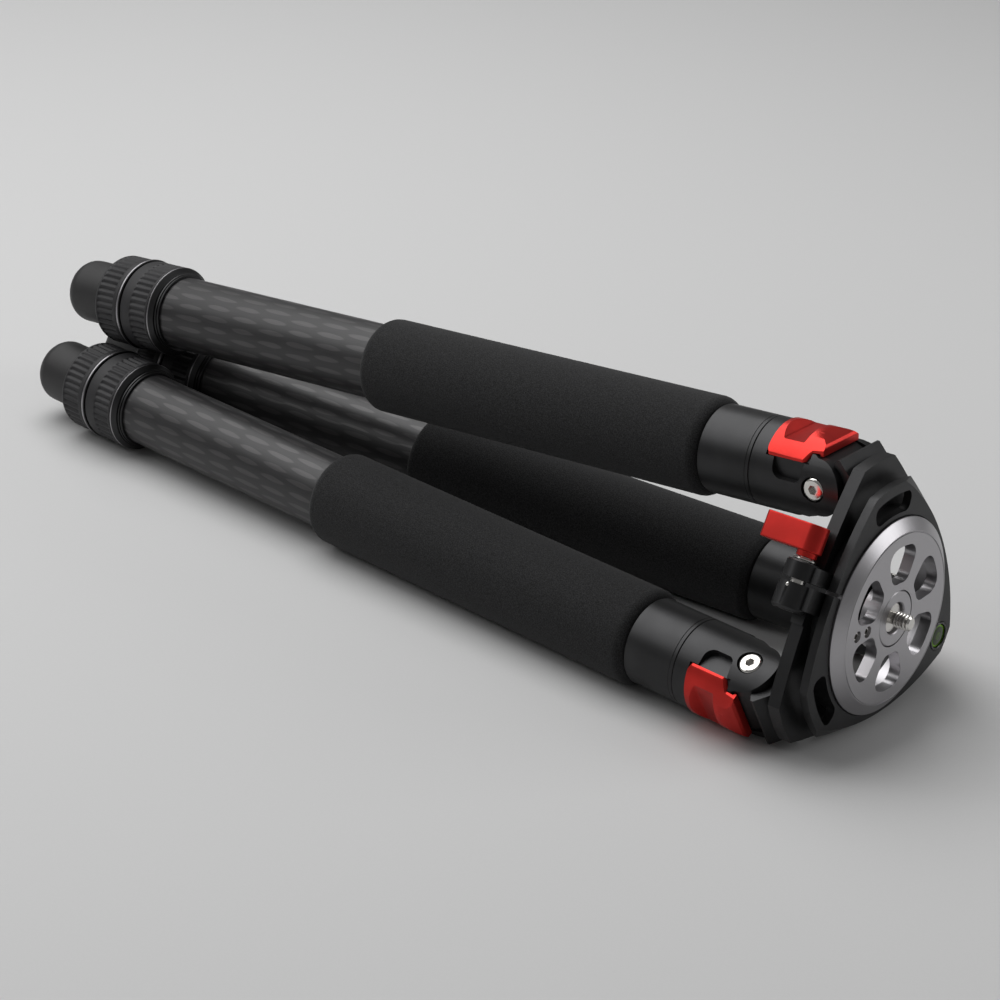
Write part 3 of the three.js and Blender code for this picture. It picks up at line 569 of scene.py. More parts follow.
def carbon_weave(rows):
    """Woven carbon cloth under a satin lacquer, with so many rows of cloth round the tube."""

    def finish(look, colours):
        sizes = bpy.context.scene.tripod_sizes
        x, y, z = look.parts(look.place())
        turns = look.maths("ARCTAN2", y, z) * (1 / FULL)
        wander = look.noise(look.vector(x * 70, y * 260, z * 260), 1.0, 1)
        shift = (wander - 0.5) * 0.22 + turns * rows * 0.02
        lengthways = look.maths("COSINE", (x * (1 / sizes.weave_length) + shift) * FULL)
        crossways = look.maths("COSINE", turns * (rows * FULL))
        lens = look.ease(abs(lengthways + crossways), 1.0, 1.45)
        streak = look.noise(look.vector(x * 110, y * 2600, z * 2600), 1.0, 3, 0.65)
        bright = (0.28 + 0.72 * lens) * (0.1 + 1.8 * streak)
        look.set(
            Base_Color=look.mix(bright, paint(colours.carbon_dark), paint(colours.carbon_light)),
            Metallic=0.25,
            Roughness=0.40 - 0.06 * lens + 0.10 * streak,
            Coat_Weight=0.18,
            Coat_Roughness=0.3,
        )
        look.relief(0.3 * lens + 0.7 * streak, 0.03 * MM, 0.4)

    return finish


def grip_foam(look, colours):
    point = look.object_point()
    pores = look.cells(point, 1500)
    grain = look.noise(point, 2300, 2, 0.7)
    look.set(
        Base_Color=look.mix(
            look.ease(grain, 0.36, 0.66),
            paint(colours.grip_foam, 0.5),
            paint(colours.grip_foam, 2.3),
        ),
        Roughness=0.90 + 0.08 * grain,
        Sheen_Weight=0.05,
        Sheen_Roughness=0.5,
        Specular_IOR_Level=0.3,
    )
    look.relief(look.ease(pores, 0.0, 0.5) * 0.5 + grain * 0.5, 0.18 * MM, 0.5)


def level_fluid(look, colours):
    reach = look.turning()[1]
    bubble = look.ease(reach, 1.75 * MM, 1.95 * MM, 1.0, 0.0)
    ring = look.ease(abs(reach - 1.85 * MM), 0.08 * MM, 0.2 * MM, 1.0, 0.0)
    # Painted light: the fluid is painted dark in its middle, a painted reflection of dark
    # surroundings, and bright green towards its rim, a painted glint
    edge = look.ease(reach, 3.6 * MM, 4.2 * MM)
    fluid = look.mix(edge, paint(colours.level_fluid, 0.10), paint(colours.level_fluid, 1.3))
    fluid = look.mix(bubble, fluid, paint(colours.level_fluid, 0.25))
    look.set(
        Base_Color=look.mix(ring * 0.8, fluid, paint(colours.level_fluid, 0.02)),
        Roughness=0.05 + 0.05 * bubble,
        Specular_IOR_Level=0.35,
    )


FINISHES = {
    "black_alloy": grained(
        "black_alloy", tones=(0.88, 1.12), rough=(0.33, 0.10, 0.05), grain=(4200, 3, 0.6),
        cloud=(60, 3), spread=(0.3, 0.7), bumps=(0.03, 0.35), Metallic=0.85,
    ),
    # Black alloy of the lock fittings, with a painted highlight along each flange's rim
    "upper_flange": rimmed_alloy(19.75),
    "lower_flange": rimmed_alloy(20.3),
    "satin_alloy": satin_alloy,
    "bright_steel": grained(
        "bright_steel", tones=(0.92, 1.0), rough=(0.14, 0.10), grain=(2600, 2),
        bumps=(0.01, 0.3), Metallic=1.0,
    ),
    "red_alloy": grained(
        "red_alloy", tones=(0.9, 1.1), rough=(0.30, 0.12), grain=(4600, 3, 0.6),
        cloud=(90, 2), spread=(0.3, 0.7), bumps=(0.03, 0.35), Metallic=0.8,
    ),
    "carbon_upper": carbon_weave(20),
    "carbon_middle": carbon_weave(18),
    "carbon_lower": carbon_weave(15),
    "grip_foam": grip_foam,
    "lock_rubber": grained(
        "lock_rubber", tones=(0.8, 1.2), rough=(0.50, 0.12), grain=(3000, 3),
        cloud=(150, 2), bumps=(0.04, 0.4), Specular_IOR_Level=0.45,
    ),
    "foot_rubber": grained(
        "foot_rubber", tones=(0.8, 1.25), rough=(0.46, 0.16), grain=(2200, 4),
        cloud=(130, 3), bumps=(0.05, 0.4),
    ),
    "level_fluid": level_fluid,
    "level_black": grained(
        "level_black", tones=(0.9, 1.1), rough=(0.16, 0.08), grain=(3000, 2)
    ),
}
MADE = {}


def finish(name):
    """The material of a finish, made when it is first asked for."""
    if name not in MADE:
        look = Look(name)
        FINISHES[name](look, bpy.context.scene.tripod_colours)
        MADE[name] = look.material
    return MADE[name]


def deliver(piece, name, body, slot, replaced, place, surface=None):
    """Names a finished piece, puts it in place and ties it to the model.

    Each point keeps where it was in the frame that the piece was shaped in, for its finish.
    """
    mesh = piece.data
    spots = mesh.attributes.new("place", "FLOAT_VECTOR", "POINT")
    for index, vertex in enumerate(mesh.vertices):
        spots.data[index].vector = vertex.co
    settle(piece, place)
    piece.name = mesh.name = name
    mesh.materials.clear()
    mesh.materials.append(finish(surface or slot))
    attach(piece, body)
    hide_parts(*replaced)
    return piece


def deliver_legs(master, name, body, slot, node, surface=None, after=None):
    """Delivers one copy of a leg piece to each leg."""
    for tag, place in LEGS.items():
        own = f"{name}_{tag}", f"{body}_{tag}", slot, [f"{node}_{tag}"]
        piece = deliver(twin(master), *own, place, surface)
        if after:
            after(piece)
    bpy.data.objects.remove(master)


# ------------------------------------------------------------------ settings
def length_setting(name, description, value, **limits):
    return FloatProperty(
        name=name, description=description, default=value, subtype="DISTANCE", unit="LENGTH",
        **limits,
    )


class TripodSizes(bpy.types.PropertyGroup):
    """Sizes of the details that a user may change."""

    edge_round: length_setting(
        "Edge rounding", "Width of the rounding along machined edges", 0.35 * MM, min=0.05 * MM
    )
    plate_edge: length_setting(
        "Hole edge", "Width of the break along the openings of the top plate", 1.2 * MM,
        min=0.05 * MM,
    )
    rib_count: IntProperty(
        name="Collar ribs", description="Ribs round each twist collar", default=42, min=12, max=90
    )
    rib_depth: length_setting(
        "Rib depth", "Depth of the grooves between the ribs of a collar", 0.85 * MM
    )
    thread_pitch: length_setting(
        "Thread pitch", "Distance between two rings of the camera screw's thread", 1.27 * MM
    )
    weave_length: length_setting(
        "Weave length", "Length along the tube of one repeat of the carbon cloth", 33 * MM
    )
    floor_size: length_setting("Floor size", "Width of the square floor", 12.0)


def colour_setting(name, description, value):
    return FloatVectorProperty(
        name=name, description=description, default=value, size=3, min=0, max=1, subtype="COLOR"
    )


class TripodColours(bpy.types.PropertyGroup):
    """Colours of the finishes, as linear values."""

    black_alloy: colour_setting(
        "Black alloy", "Anodised shoulder and sleeves", (0.040, 0.040, 0.041)
    )
    # This colour also paints the highlight along the rims of the lock flanges
    satin_alloy: colour_setting("Satin alloy", "Bare top plate and flanges", (0.42, 0.41, 0.425))
    bright_steel: colour_setting("Bright steel", "Screws, bolts and pins", (0.72, 0.70, 0.67))
    red_alloy: colour_setting("Red alloy", "Anodised latches and clamp lever", (0.56, 0.028, 0.022))
    carbon_dark: colour_setting(
        "Carbon ground", "Carbon cloth in its dark parts", (0.010, 0.010, 0.011)
    )
    carbon_light: colour_setting(
        "Carbon sheen", "Carbon cloth in its bright parts", (0.052, 0.050, 0.051)
    )
    grip_foam: colour_setting("Grip foam", "Foam of the leg grips", (0.013, 0.013, 0.0135))
    lock_rubber: colour_setting(
        "Collar rubber", "Rubber of the twist collars", (0.016, 0.0155, 0.017)
    )
    foot_rubber: colour_setting("Foot rubber", "Rubber of the feet", (0.014, 0.0135, 0.014))
    level_fluid: colour_setting("Level fluid", "Fluid in the round level", (0.13, 0.30, 0.01))
    level_black: colour_setting(
        "Level housing", "Gloss black housing of the level", (0.012, 0.012, 0.013)
    )
    floor: colour_setting("Floor", "Plain floor", (0.60, 0.60, 0.60))


# ------------------------------------------------------------------ leg pieces
class TRIPOD_OT_yokes(bpy.types.Operator):
    """Sleeve of each leg with its fork, finger windows and latch seat"""

    bl_idname = "tripod.yokes"
    bl_label = "Yokes"

    def flanks(self, r, depth):
        """From so deep in the sleeve to just outside it, on both sides."""
        return (-r - 1, depth - r), (r - depth, r + 1)

    def execute(self, context):
        sleeve, tube = leg_span("yoke"), leg_span("upper_tube")
        r, end, ear = sleeve.radius, sleeve.end, -sleeve.start
        out = r + 1  # just outside the sleeve
        bore, wall = tube.radius + FIT, tube.start - CLEAR
        profile = [(-ear - 1, 0), (-ear - 1, r)]
        # Two fine lines behind the latch
        for line, half, depth in ((end - 23.9, 0.3, 0.4), (end - 22.1, 0.15, 0.18)):
            profile += [(line - half, r), (line, r - depth), (line + half, r)]
        profile += [(end - 0.7, r), (end - 0.2, r - 0.25), (end, r - 0.7)]
        profile += [(end, bore), (wall, bore), (wall, 0)]
        yoke = turned("yoke", profile, 96)
        side = arc(ear, 90, 270, 24) + [(14, -r - 0.02), (end + 2, -out)]
        side += [(end + 2, out), (14, r + 0.02)]
        keep(yoke, prism("side", side, "Y", -out, out))
        seat_end = 22.3
        cut(yoke, block("slot", (-ear - 2, -10.8, -out), (13, 10.8, out)))
        cut(yoke, block("seat", (-ear - 2, -out, 12.2), (seat_end, out, out)))
        rebate = cut(rod("rebate", 3.2, seat_end, out, 96), rod("core", 2, 24, 16.4, 96))
        keep(rebate, block("upper", (-5, -r - 2, 8.7), (30, r + 2, r + 2)))
        cut(yoke, rebate)
        window = rounded([(6.3, 1.2), (18.0, 1.2), (18.9, 13), (4.3, 13)], [2.6, 4.2, 0, 0])
        for low, high in self.flanks(r, 2.9):
            cut(yoke, prism("window", window, "Y", low, high))
        cut(yoke, peg("bore", 0, 0, 3.7, -out, out, 48))
        for low, high in self.flanks(r, 3.6):
            cut(yoke, peg("counterbore", 0, 0, 4.95, low, high, 64))
        cut(yoke, stud_z("pin_hole", LATCH_PIN_X, 0, LATCH_PIN_BORE, 4, r))
        dress(yoke, context.scene.tripod_sizes.edge_round / MM)
        deliver_legs(yoke, "leg_yoke", "leg", "black_alloy", "yoke")
        return {"FINISHED"}


def bolt_head(name, seat, out, radius, key):
    """Round head with a domed edge and a hexagon socket, about X, facing +X."""
    profile = [(seat, 0), (seat, radius), (out - 1.1, radius), (out - 0.55, radius - 0.22)]
    profile += [(out - 0.15, radius - 0.7), (out, radius - 1.35), (out, 0)]
    head = turned(name, profile, 64)
    corner = key / math.sqrt(3)  # from the middle of the socket to a corner
    cut(head, prism("key", arc(corner, 0, 300, 5), "X", out - 2.0, out + 1))
    cut(head, turned("lead", [(out - 0.5, 0), (out + 0.3, corner + 0.75), (out + 1, 0)], 48))
    return head


class TRIPOD_OT_bolts(bpy.types.Operator):
    """Pivot bolt and nut of each leg"""

    bl_idname = "tripod.bolts"
    bl_label = "Pivot bolts"

    def execute(self, context):
        r = leg_span("yoke").radius
        out, seat = r - 0.25, r - 3.3
        for name, way in (("bolt", 1), ("nut", -1)):
            piece = bolt_head(name, seat, out, 4.65, 3.4)
            if name == "bolt":
                add(piece, rod("shank", -seat + CLEAR, seat + 0.2, 3.5, 48))
            shade(piece, 30)
            settle(piece, Matrix.Rotation(way * math.pi / 2, 4, "Z"))
            deliver_legs(piece, f"leg_{name}", "leg", "bright_steel", f"pivot_{name}")
        return {"FINISHED"}


class TRIPOD_OT_latches(bpy.types.Operator):
    """Angle latch of each leg, a red shell over the sleeve"""

    bl_idname = "tripod.latches"
    bl_label = "Angle latches"

    def execute(self, context):
        shell = leg_span("angle_latch")
        tip, heel = shell.start, shell.end
        r, inner = 18.2, 16.7
        half, neck, tip_half = 15.2, 12.3, 11.8  # half widths
        floor, lip, lip_end = 12.5, 11.6, 0.2  # underside, and where it reaches lower
        far = 20  # beyond the latch
        plan = [
            (heel, -half), (heel, half), (5.9, half), (3.4, neck), (tip, tip_half),
            (tip, -tip_half), (3.4, -neck), (5.9, -half),
        ]
        plan = rounded(plan, [1.6, 1.6, 1.0, 1.4, 0, 0, 1.4, 1.0])
        latch = rod("latch", tip - 1, heel + 1, r, 144)
        keep(latch, prism("plan", plan, "Z", 9.0, r + 1))
        under = rod("under", tip - 2, heel + 2, inner, 144)
        cut(under, block("body", (-far, -far, floor), (40, far, 30)))
        cut(under, block("lip", (-far, -far, lip), (lip_end, far, 30)))
        cut(latch, under)
        cut(latch, block("below_lip", (-far, -far, 0), (lip_end, far, lip)))
        cut(latch, block("below_neck", (lip_end, -far, 0), (3.5, far, floor)))
        # Sloping front with a broken edge at the tip
        rise = (r - 15.3) / 5.6
        slope = [(tip - 2, 10.1), (tip, 14.4), (tip + 0.55, 15.3 + 0.55 * rise)]
        slope += [(6.6, r + 2 * rise), (tip - 2, r + 2 * rise)]
        cut(latch, prism("slope", slope, "Y", -far, far))
        # Trough for the fingertip, with a steep front and a ramp up to the heel, left bare
        trough = [(8.3, 14.8), (17.3, 14.8), (21.05, r + 1), (7.52, r + 1)]
        cut(latch, prism("trough", rounded(trough, [0.6, 1.2, 0, 0], 4), "Y", -far, far))
        cut(latch, stud_z("pin_bore", LATCH_PIN_X, 0, LATCH_PIN_BORE, 0, 13.9))
        dress(latch, 0.35)
        deliver_legs(latch, "angle_catch", "latch", "red_alloy", "angle_latch")
        return {"FINISHED"}


class TRIPOD_OT_tubes(bpy.types.Operator):
    """Carbon tubes of the three leg sections"""

    bl_idname = "tripod.tubes"
    bl_label = "Carbon tubes"

    def execute(self, context):
        wall, broken = 1.3, 0.25
        rows = (
            ("upper_tube", "leg_tube", "leg", "carbon_upper"),
            ("middle_tube", "middle_section", "middle", "carbon_middle"),
            ("lower_tube", "lower_section", "lower", "carbon_lower"),
        )
        for node, name, body, surface in rows:
            span = leg_span(node)
            x0, x1, r = span.start, span.end, span.radius
            profile = [(x0, r - wall), (x0, r - broken), (x0 + broken, r)]
            profile += straight(x0, x1, r, 40)
            profile += [(x1 - broken, r), (x1, r - broken), (x1, r - wall)]
            tube = turned("tube", profile, 96, ring=True)
            shade(tube)
            deliver_legs(tube, name, body, "carbon_weave", node, surface)
        return {"FINISHED"}


class TRIPOD_OT_grips(bpy.types.Operator):
    """Foam grips over the upper tubes"""

    bl_idname = "tripod.grips"
    bl_label = "Foam grips"

    def execute(self, context):
        span = leg_span("foam_grip")
        x0, x1, r = span.start, span.end, span.radius
        inner = leg_span("upper_tube").radius + CLEAR
        lip = 4.2
        profile = [(x0, inner), (x0, r - lip)]
        profile += arc(lip, 165, 90, 5, (x0 + lip, r - lip))
        profile += straight(x0 + lip, x1 - lip, r, 30)
        profile += arc(lip, 90, 15, 5, (x1 - lip, r - lip))
        profile += [(x1, r - lip), (x1, inner)]
        grip = turned("grip", profile, 96, ring=True)
        shade(grip, 60)
        deliver_legs(
            grip, "leg_grip", "leg", "grip_foam", "foam_grip",
            after=lambda piece: piece,
        )
        return {"FINISHED"}


def collar(start, end, radius, neck, band, sizes):
    """Rubber twist collar: two plain bands with rounded ribs between them."""
    count, depth = sizes.rib_count, sizes.rib_depth / MM
    inner = radius - 2.8
    low, high = start + band[0], start + band[1]
    # Rings round the ribbed band, and the columns of a rib, with their shares of its depth
    rows = [(low, 0.0), (low + 0.35, 0.55), (low + 0.9, 1.0)]
    rows += [(high - 0.9, 1.0), (high - 0.35, 0.55), (high, 0.0)]
    shares = {0: 1.0, 1: 0.72, 5: 0.72, 2: 0.18, 4: 0.18}
    per_rib = 6
    profile = [(start, inner), (start, radius - 0.6), (start + 0.25, radius - 0.2)]
    profile += [(start + 0.7, radius)] + [(x, radius) for x, _ in rows]
    profile += [(end - 0.9, radius), (end - 0.35, radius - 0.22), (end, radius - 0.8)]
    profile += [(end, neck + 0.4), (end - 0.3, neck), (end - 2, neck), (end - 2, inner)]
    piece = turned("collar", profile, count * per_rib, ring=True)
    for x, row_share in rows[1:-1]:
        for column, share in shares.items():
            for vertex in piece.data.vertices:
                turn = math.atan2(vertex.co.y, vertex.co.z) / FULL * count * per_rib
                here = abs(vertex.co.x / MM - x) < 0.01
                outer = math.hypot(vertex.co.y, vertex.co.z) / MM > inner + 1.2
                vertex.select = here and outer and round(turn) % per_rib == column
            pick(piece)
            factor = 1 - depth * share * row_share / radius
            bpy.ops.object.mode_set(mode="EDIT")
            bpy.ops.transform.resize(value=(1, factor, factor), center_override=(0, 0, 0))
            bpy.ops.mesh.select_all(action="DESELECT")
            close_mesh()
    shade(piece, 40)
    return piece


class TRIPOD_OT_collars(bpy.types.Operator):
    """Ribbed twist collars of both locks"""

    bl_idname = "tripod.collars"
    bl_label = "Twist collars"

    def execute(self, context):
        rows = (
            ("upper_twist_collar", "middle_tube", "upper_collar", (1.1, 11.1)),
            ("lower_twist_collar", "lower_tube", "lower_collar", (2.3, 12.6)),
        )
        for node, inside, body, band in rows:
            span = leg_span(node)
            neck = leg_span(inside).radius + CLEAR
            sizes = context.scene.tripod_sizes
            piece = collar(span.start, span.end, span.radius, neck, band, sizes)
            deliver_legs(piece, f"{body}_ring", body, "lock_rubber", node)
        return {"FINISHED"}


class TRIPOD_OT_locks(bpy.types.Operator):
    """Lock fittings at the tube ends, with their flanges"""

    bl_idname = "tripod.locks"
    bl_label = "Lock fittings"

    def execute(self, context):
        fitting, ring = leg_span("upper_lock_body"), leg_span("upper_twist_collar")
        seat = leg_span("upper_tube").radius + FIT
        nose = leg_span("middle_tube").radius + CLEAR
        thread = ring.radius - 3.1
        x, end, flange = fitting.start, fitting.end, ring.start - FIT
        top = ring.radius - 0.4
        body = [(x, seat), (x, seat + 0.8), (x + 0.2, seat + 1.0), (x + 0.85, seat + 1.0)]
        body += [(x + 0.95, seat + 0.7), (x + 1.15, seat + 0.7), (x + 1.25, seat + 1.35)]
        body += [(x + 1.75, seat + 1.45), (x + 1.9, seat + 1.1), (x + 2.2, seat + 1.1)]
        body += [(x + 2.35, seat + 1.9), (x + 2.6, seat + 2.15), (flange - 0.55, top - 0.15)]
        body += [(flange - 0.3, top), (flange - 0.1, top), (flange, top - 0.15)]
        body += [(flange, thread), (end, thread), (end, nose), (x + 7.3, nose), (x + 7.3, seat)]
        piece = turned("lock", body, 128, ring=True)
        shade(piece, 30)
        deliver_legs(piece, "upper_lock", "leg", "black_alloy", "upper_lock_body", "upper_flange")

        fitting, ring = leg_span("lower_lock_body"), leg_span("lower_twist_collar")
        seat = leg_span("middle_tube").radius + FIT
        nose = leg_span("lower_tube").radius + CLEAR
        x, end, flange = fitting.start, fitting.end, ring.start - FIT
        wide, step = fitting.radius, ring.start + 3.3
        body = [(x, seat), (x, wide - 0.45), (x + 0.35, wide - 0.1), (x + 0.6, wide)]
        body += [(flange - 0.6, wide), (flange - 0.35, wide - 0.1), (flange, wide - 0.45)]
        body += [(flange, thread), (end, thread), (end, nose), (step, nose), (step, seat)]
        piece = turned("flange", body, 128, ring=True)
        shade(piece, 30)
        deliver_legs(
            piece, "lower_lock", "middle", "black_alloy", "lower_lock_body", "lower_flange"
        )
        return {"FINISHED"}


class TRIPOD_OT_feet(bpy.types.Operator):
    """Domed rubber feet"""

    bl_idname = "tripod.feet"
    bl_label = "Rubber feet"

    def execute(self, context):
        span, tube = leg_span("rubber_foot"), leg_span("lower_tube")
        x0, x1, r = span.start, span.end, span.radius
        inner, floor = tube.radius + CLEAR, tube.end + CLEAR
        height, steps = 9.5, 12  # of the dome
        profile = [(floor, 0), (floor, inner), (x0, inner), (x0, r - 0.9), (x0 + 0.3, r - 0.45)]
        profile += [(x0 + 1.0, r - 0.15), (x0 + 3, r)]
        for step in range(steps):
            angle = math.radians(90 * step / steps)
            profile.append((x1 - height + height * math.sin(angle), r * math.cos(angle)))
        profile.append((x1, 0))
        foot = turned("foot", profile, 96)
        shade(foot, 45)
        deliver_legs(foot, "foot", "lower", "foot_rubber", "rubber_foot")
        return {"FINISHED"}


# ------------------------------------------------------------------ head pieces
def three_cornered(corner, clamp_side, plain_side):
    """Outline with a corner at each leg and a bowed side between every two corners.

    A side is its distance from the axis in the middle, and the degrees from a leg's direction
    to where the corner's arc ends.
    """
    points = []
    for direction in LEG_DIRECTIONS.values():
        before = clamp_side if direction - 60 == CLAMP_DIRECTION else plain_side
        mid, half = clamp_side if direction + 60 == CLAMP_DIRECTION else plain_side
        points += arc(corner, direction - before[1], direction + half, 10)
        off = math.radians(60 - half)
        rise, along = mid - corner * math.cos(off), corner * math.sin(off)
        bow = (along * along + rise * rise) / (2 * rise)
        sweep = math.degrees(math.asin(along / bow))
        turn = math.radians(direction + 60)
        centre = ((mid - bow) * math.cos(turn), (mid - bow) * math.sin(turn))
        points += arc(bow, direction + 60 - sweep, direction + 60 + sweep, 24, centre)[1:-1]
    return points


def between(name, first, x0, second, x1):
    """Convex solid between two outlines in millimetres across the X axis."""
    loops = [LAYOUTS["X"](a, b, x0) for a, b in first] + [LAYOUTS["X"](a, b, x1) for a, b in second]
    piece = drawn(name, loops)
    bpy.ops.mesh.convex_hull()
    bpy.ops.mesh.select_all(action="SELECT")
    bpy.ops.mesh.delete_loose(use_verts=True, use_edges=True, use_faces=False)
    sealed()
    return piece


class TRIPOD_OT_shoulder(bpy.types.Operator):
    """Three-cornered shoulder casting with its lugs, pockets and split clamp"""

    bl_idname = "tripod.shoulder"
    bl_label = "Shoulder"

    FLANGE = (-8.3, -5.0)
    REAR = (-17.6, -12.5)
    PIVOT = (-31.0, 48.8)
    LUG = 11.0
    STOP_ANGLE, STOP_REACH, STOP_TOP = 25, 11.8, 14.8  # the folded leg's stop, about the pivot

    def corner(self):
        """Lug for a leg with the stop step, at the top."""
        px, pz = self.PIVOT
        rear = self.REAR[0]
        side = arc(self.LUG, 90, 295, 40, self.PIVOT)
        piece = prism("lug", side + [(rear + 1, 38), (rear + 1, 57), (-24, 57)], "Y", -10.5, 10.5)
        stop = math.radians(self.STOP_ANGLE) + math.asin(1 / self.STOP_REACH)
        x, z = px + self.STOP_TOP * math.sin(stop), pz + self.STOP_TOP * math.cos(stop)
        section = [(rear + 1, 50), (rear + 1, 56.5), (rear - 0.3, 56.5), (x + 1, z), (x, z)]
        section += arc(self.STOP_REACH, 90 - math.degrees(stop), 10, 8, self.PIVOT)
        add(piece, prism("stop", section, "Y", -13.4, 13.4))
        return cut(piece, peg("bore", px, pz, 3.75, -20, 20, 40))

    def clamp(self):
        """Two bosses of the split clamp, drawn with the split along +Z."""
        face, low, r = CLAMP_FACE, -11.2, CLAMP_BOSS
        up = [(0.2, 0), (0.2, 6.2), (face - 0.5, 6.2), (face, 5.7), (face, 0)]
        down = [(low, 0), (low, 5.2), (-10.9, 5.7), (-10.0, r), (-0.2, r), (-0.2, 0)]
        bosses = [across(turned("boss", side, 64), CLAMP_X, CLAMP_Z) for side in (up, down)]
        neck = block("neck", (CLAMP_X, -9.5, 38.5), (-9.4, 6.8, CLAMP_Z + 1.5))
        tab = block("tab", (self.REAR[0], -14.6, 40), (self.REAR[1], -9.2, 45.5))
        return add(neck, *bosses, tab)

    def execute(self, context):
        front_corner, pocket_turn = 53.4, 2.4
        clamp_side = (43.8, 15.6)
        front = three_cornered(front_corner, clamp_side, (41.0, 5.6))
        back = three_cornered(front_corner, clamp_side, (42.6, 15.0))
        body = between("shoulder", back, self.FLANGE[0], front, self.FLANGE[1])
        middle = self.REAR[1] - 1, self.FLANGE[0] + 1
        add(body, rod("core", *middle, 41, 180))
        rear = three_cornered(61.0, (44.6, 11.2), (43.4, 7.9))
        add(body, prism("rear", rear, "X", *self.REAR))
        corner = self.corner()
        for direction in LEG_DIRECTIONS.values():
            add(body, settle(twin(corner), about_x(direction - 90)))
        bpy.data.objects.remove(corner)
        add(body, settle(rod("boss", *middle, 7.2, 48), LEVEL_PLACE))
        add(body, settle(self.clamp(), CLAMP_TURN))
        cut(body, rod("seat", -6.8, 1, 39.4, 180))
        cut(body, rod("bore", -45, 1, 36.75, 180))
        for direction in (LEG_DIRECTIONS["A"] + pocket_turn, LEG_DIRECTIONS["B"] - pocket_turn):
            kidney = fan(41.2, 15, 49.3, 15, 3.2, 3.2, direction)
            cut(body, prism("pocket", kidney, "X", -10, -3))
        cut(body, settle(rod("well", -10.5, 1, 6.0, 48), LEVEL_PLACE))
        split = block("split", (-40, -0.75, 30), (2, 0.75, 70))
        cut(body, settle(split, CLAMP_TURN))
        screw = peg("screw_bore", CLAMP_X, CLAMP_Z, CLAMP_BORE, -9.2, 20, 32)
        cut(body, settle(screw, CLAMP_TURN))
        pin = stud_z("pin_hole", CLAMP_X, STOP_PIN_Y, 1.2, 54.8, 62.2, 20)
        cut(body, settle(pin, CLAMP_TURN))
        dress(body, 0.4)
        deliver(body, "shoulder_casting", "shoulder_unit", "black_alloy", ["shoulder"], HEAD)
        return {"FINISHED"}


class TRIPOD_OT_plate(bpy.types.Operator):
    """Round top plate with its fan-shaped openings"""

    bl_idname = "tripod.plate"
    bl_label = "Top plate"

    FIRST_HOLE = 86

    def execute(self, context):
        span = Span("top_plate", HEAD)
        rim, back, face = span.radius, span.start, span.end
        web, wall, middle = -6.0, 32.5, 11.25
        profile = [(face, middle), (face, 33.6), (face - 0.4, 33.75), (face - 0.4, 34.0)]
        profile += [(face - 0.05, 34.15), (face - 0.1, 34.45), (-4.05, rim - 0.2), (-4.35, rim)]
        profile += [(-6.2, rim), (-6.5, rim - 0.3), (-6.5, 36.5), (back + 0.4, 36.5)]
        profile += [(back, 36.1), (back, wall), (web, wall), (web, middle)]
        plate = turned("plate", profile, 192, ring=True)
        for index in range(6):
            hole = fan(14.3, 19.7, 29.2, 21.2, 4.5, 5.0, self.FIRST_HOLE + 60 * index)
            cut(plate, prism("hole", hole, "X", web - 1, 1))
        places = {name: round_axis(self.FIRST_HOLE + 90, reach) for name, reach in GRUBS.items()}
        for place in places.values():
            cut(plate, settle(rod("grub_hole", web - 1, 1, 2.25, 40), place))
        dress(plate, context.scene.tripod_sizes.plate_edge / MM / 2, 50, 32)
        deliver(plate, "plate_disc", "plate", "satin_alloy", ["top_plate"], HEAD)
        for name, place in places.items():
            grub = turned("grub", [(-5.7, 0), (-5.7, 2), (-2.45, 2), (-2.0, 1.55), (-2.0, 0)], 40)
            cut(grub, prism("key", arc(1.15, 0, 300, 5), "X", -4.0, 0))
            shade(grub, 30)
            settle(grub, place)
            node = f"grub_screw_{name}"
            deliver(grub, f"grub_plug_{name}", "plate", "bright_steel", [node], HEAD)
        return {"FINISHED"}


class TRIPOD_OT_hub(bpy.types.Operator):
    """Hub ring in the middle of the plate"""

    bl_idname = "tripod.hub"
    bl_label = "Hub ring"

    def execute(self, context):
        face = Span("hub_insert", HEAD).end
        web, back, bore = -6.3, -8.6, 3.5
        profile = [(face - 0.4, 6.2), (face, 6.6), (face, 10.6), (face - 0.4, 11), (web, 11)]
        profile += [(web, 13.6), (back, 13.6), (back, bore), (-4.6, bore), (-4.6, 6.2)]
        hub = turned("hub", profile, 96, ring=True)
        shade(hub, 30)
        deliver(hub, "hub_ring", "plate", "satin_alloy", ["hub_insert"], HEAD)
        return {"FINISHED"}


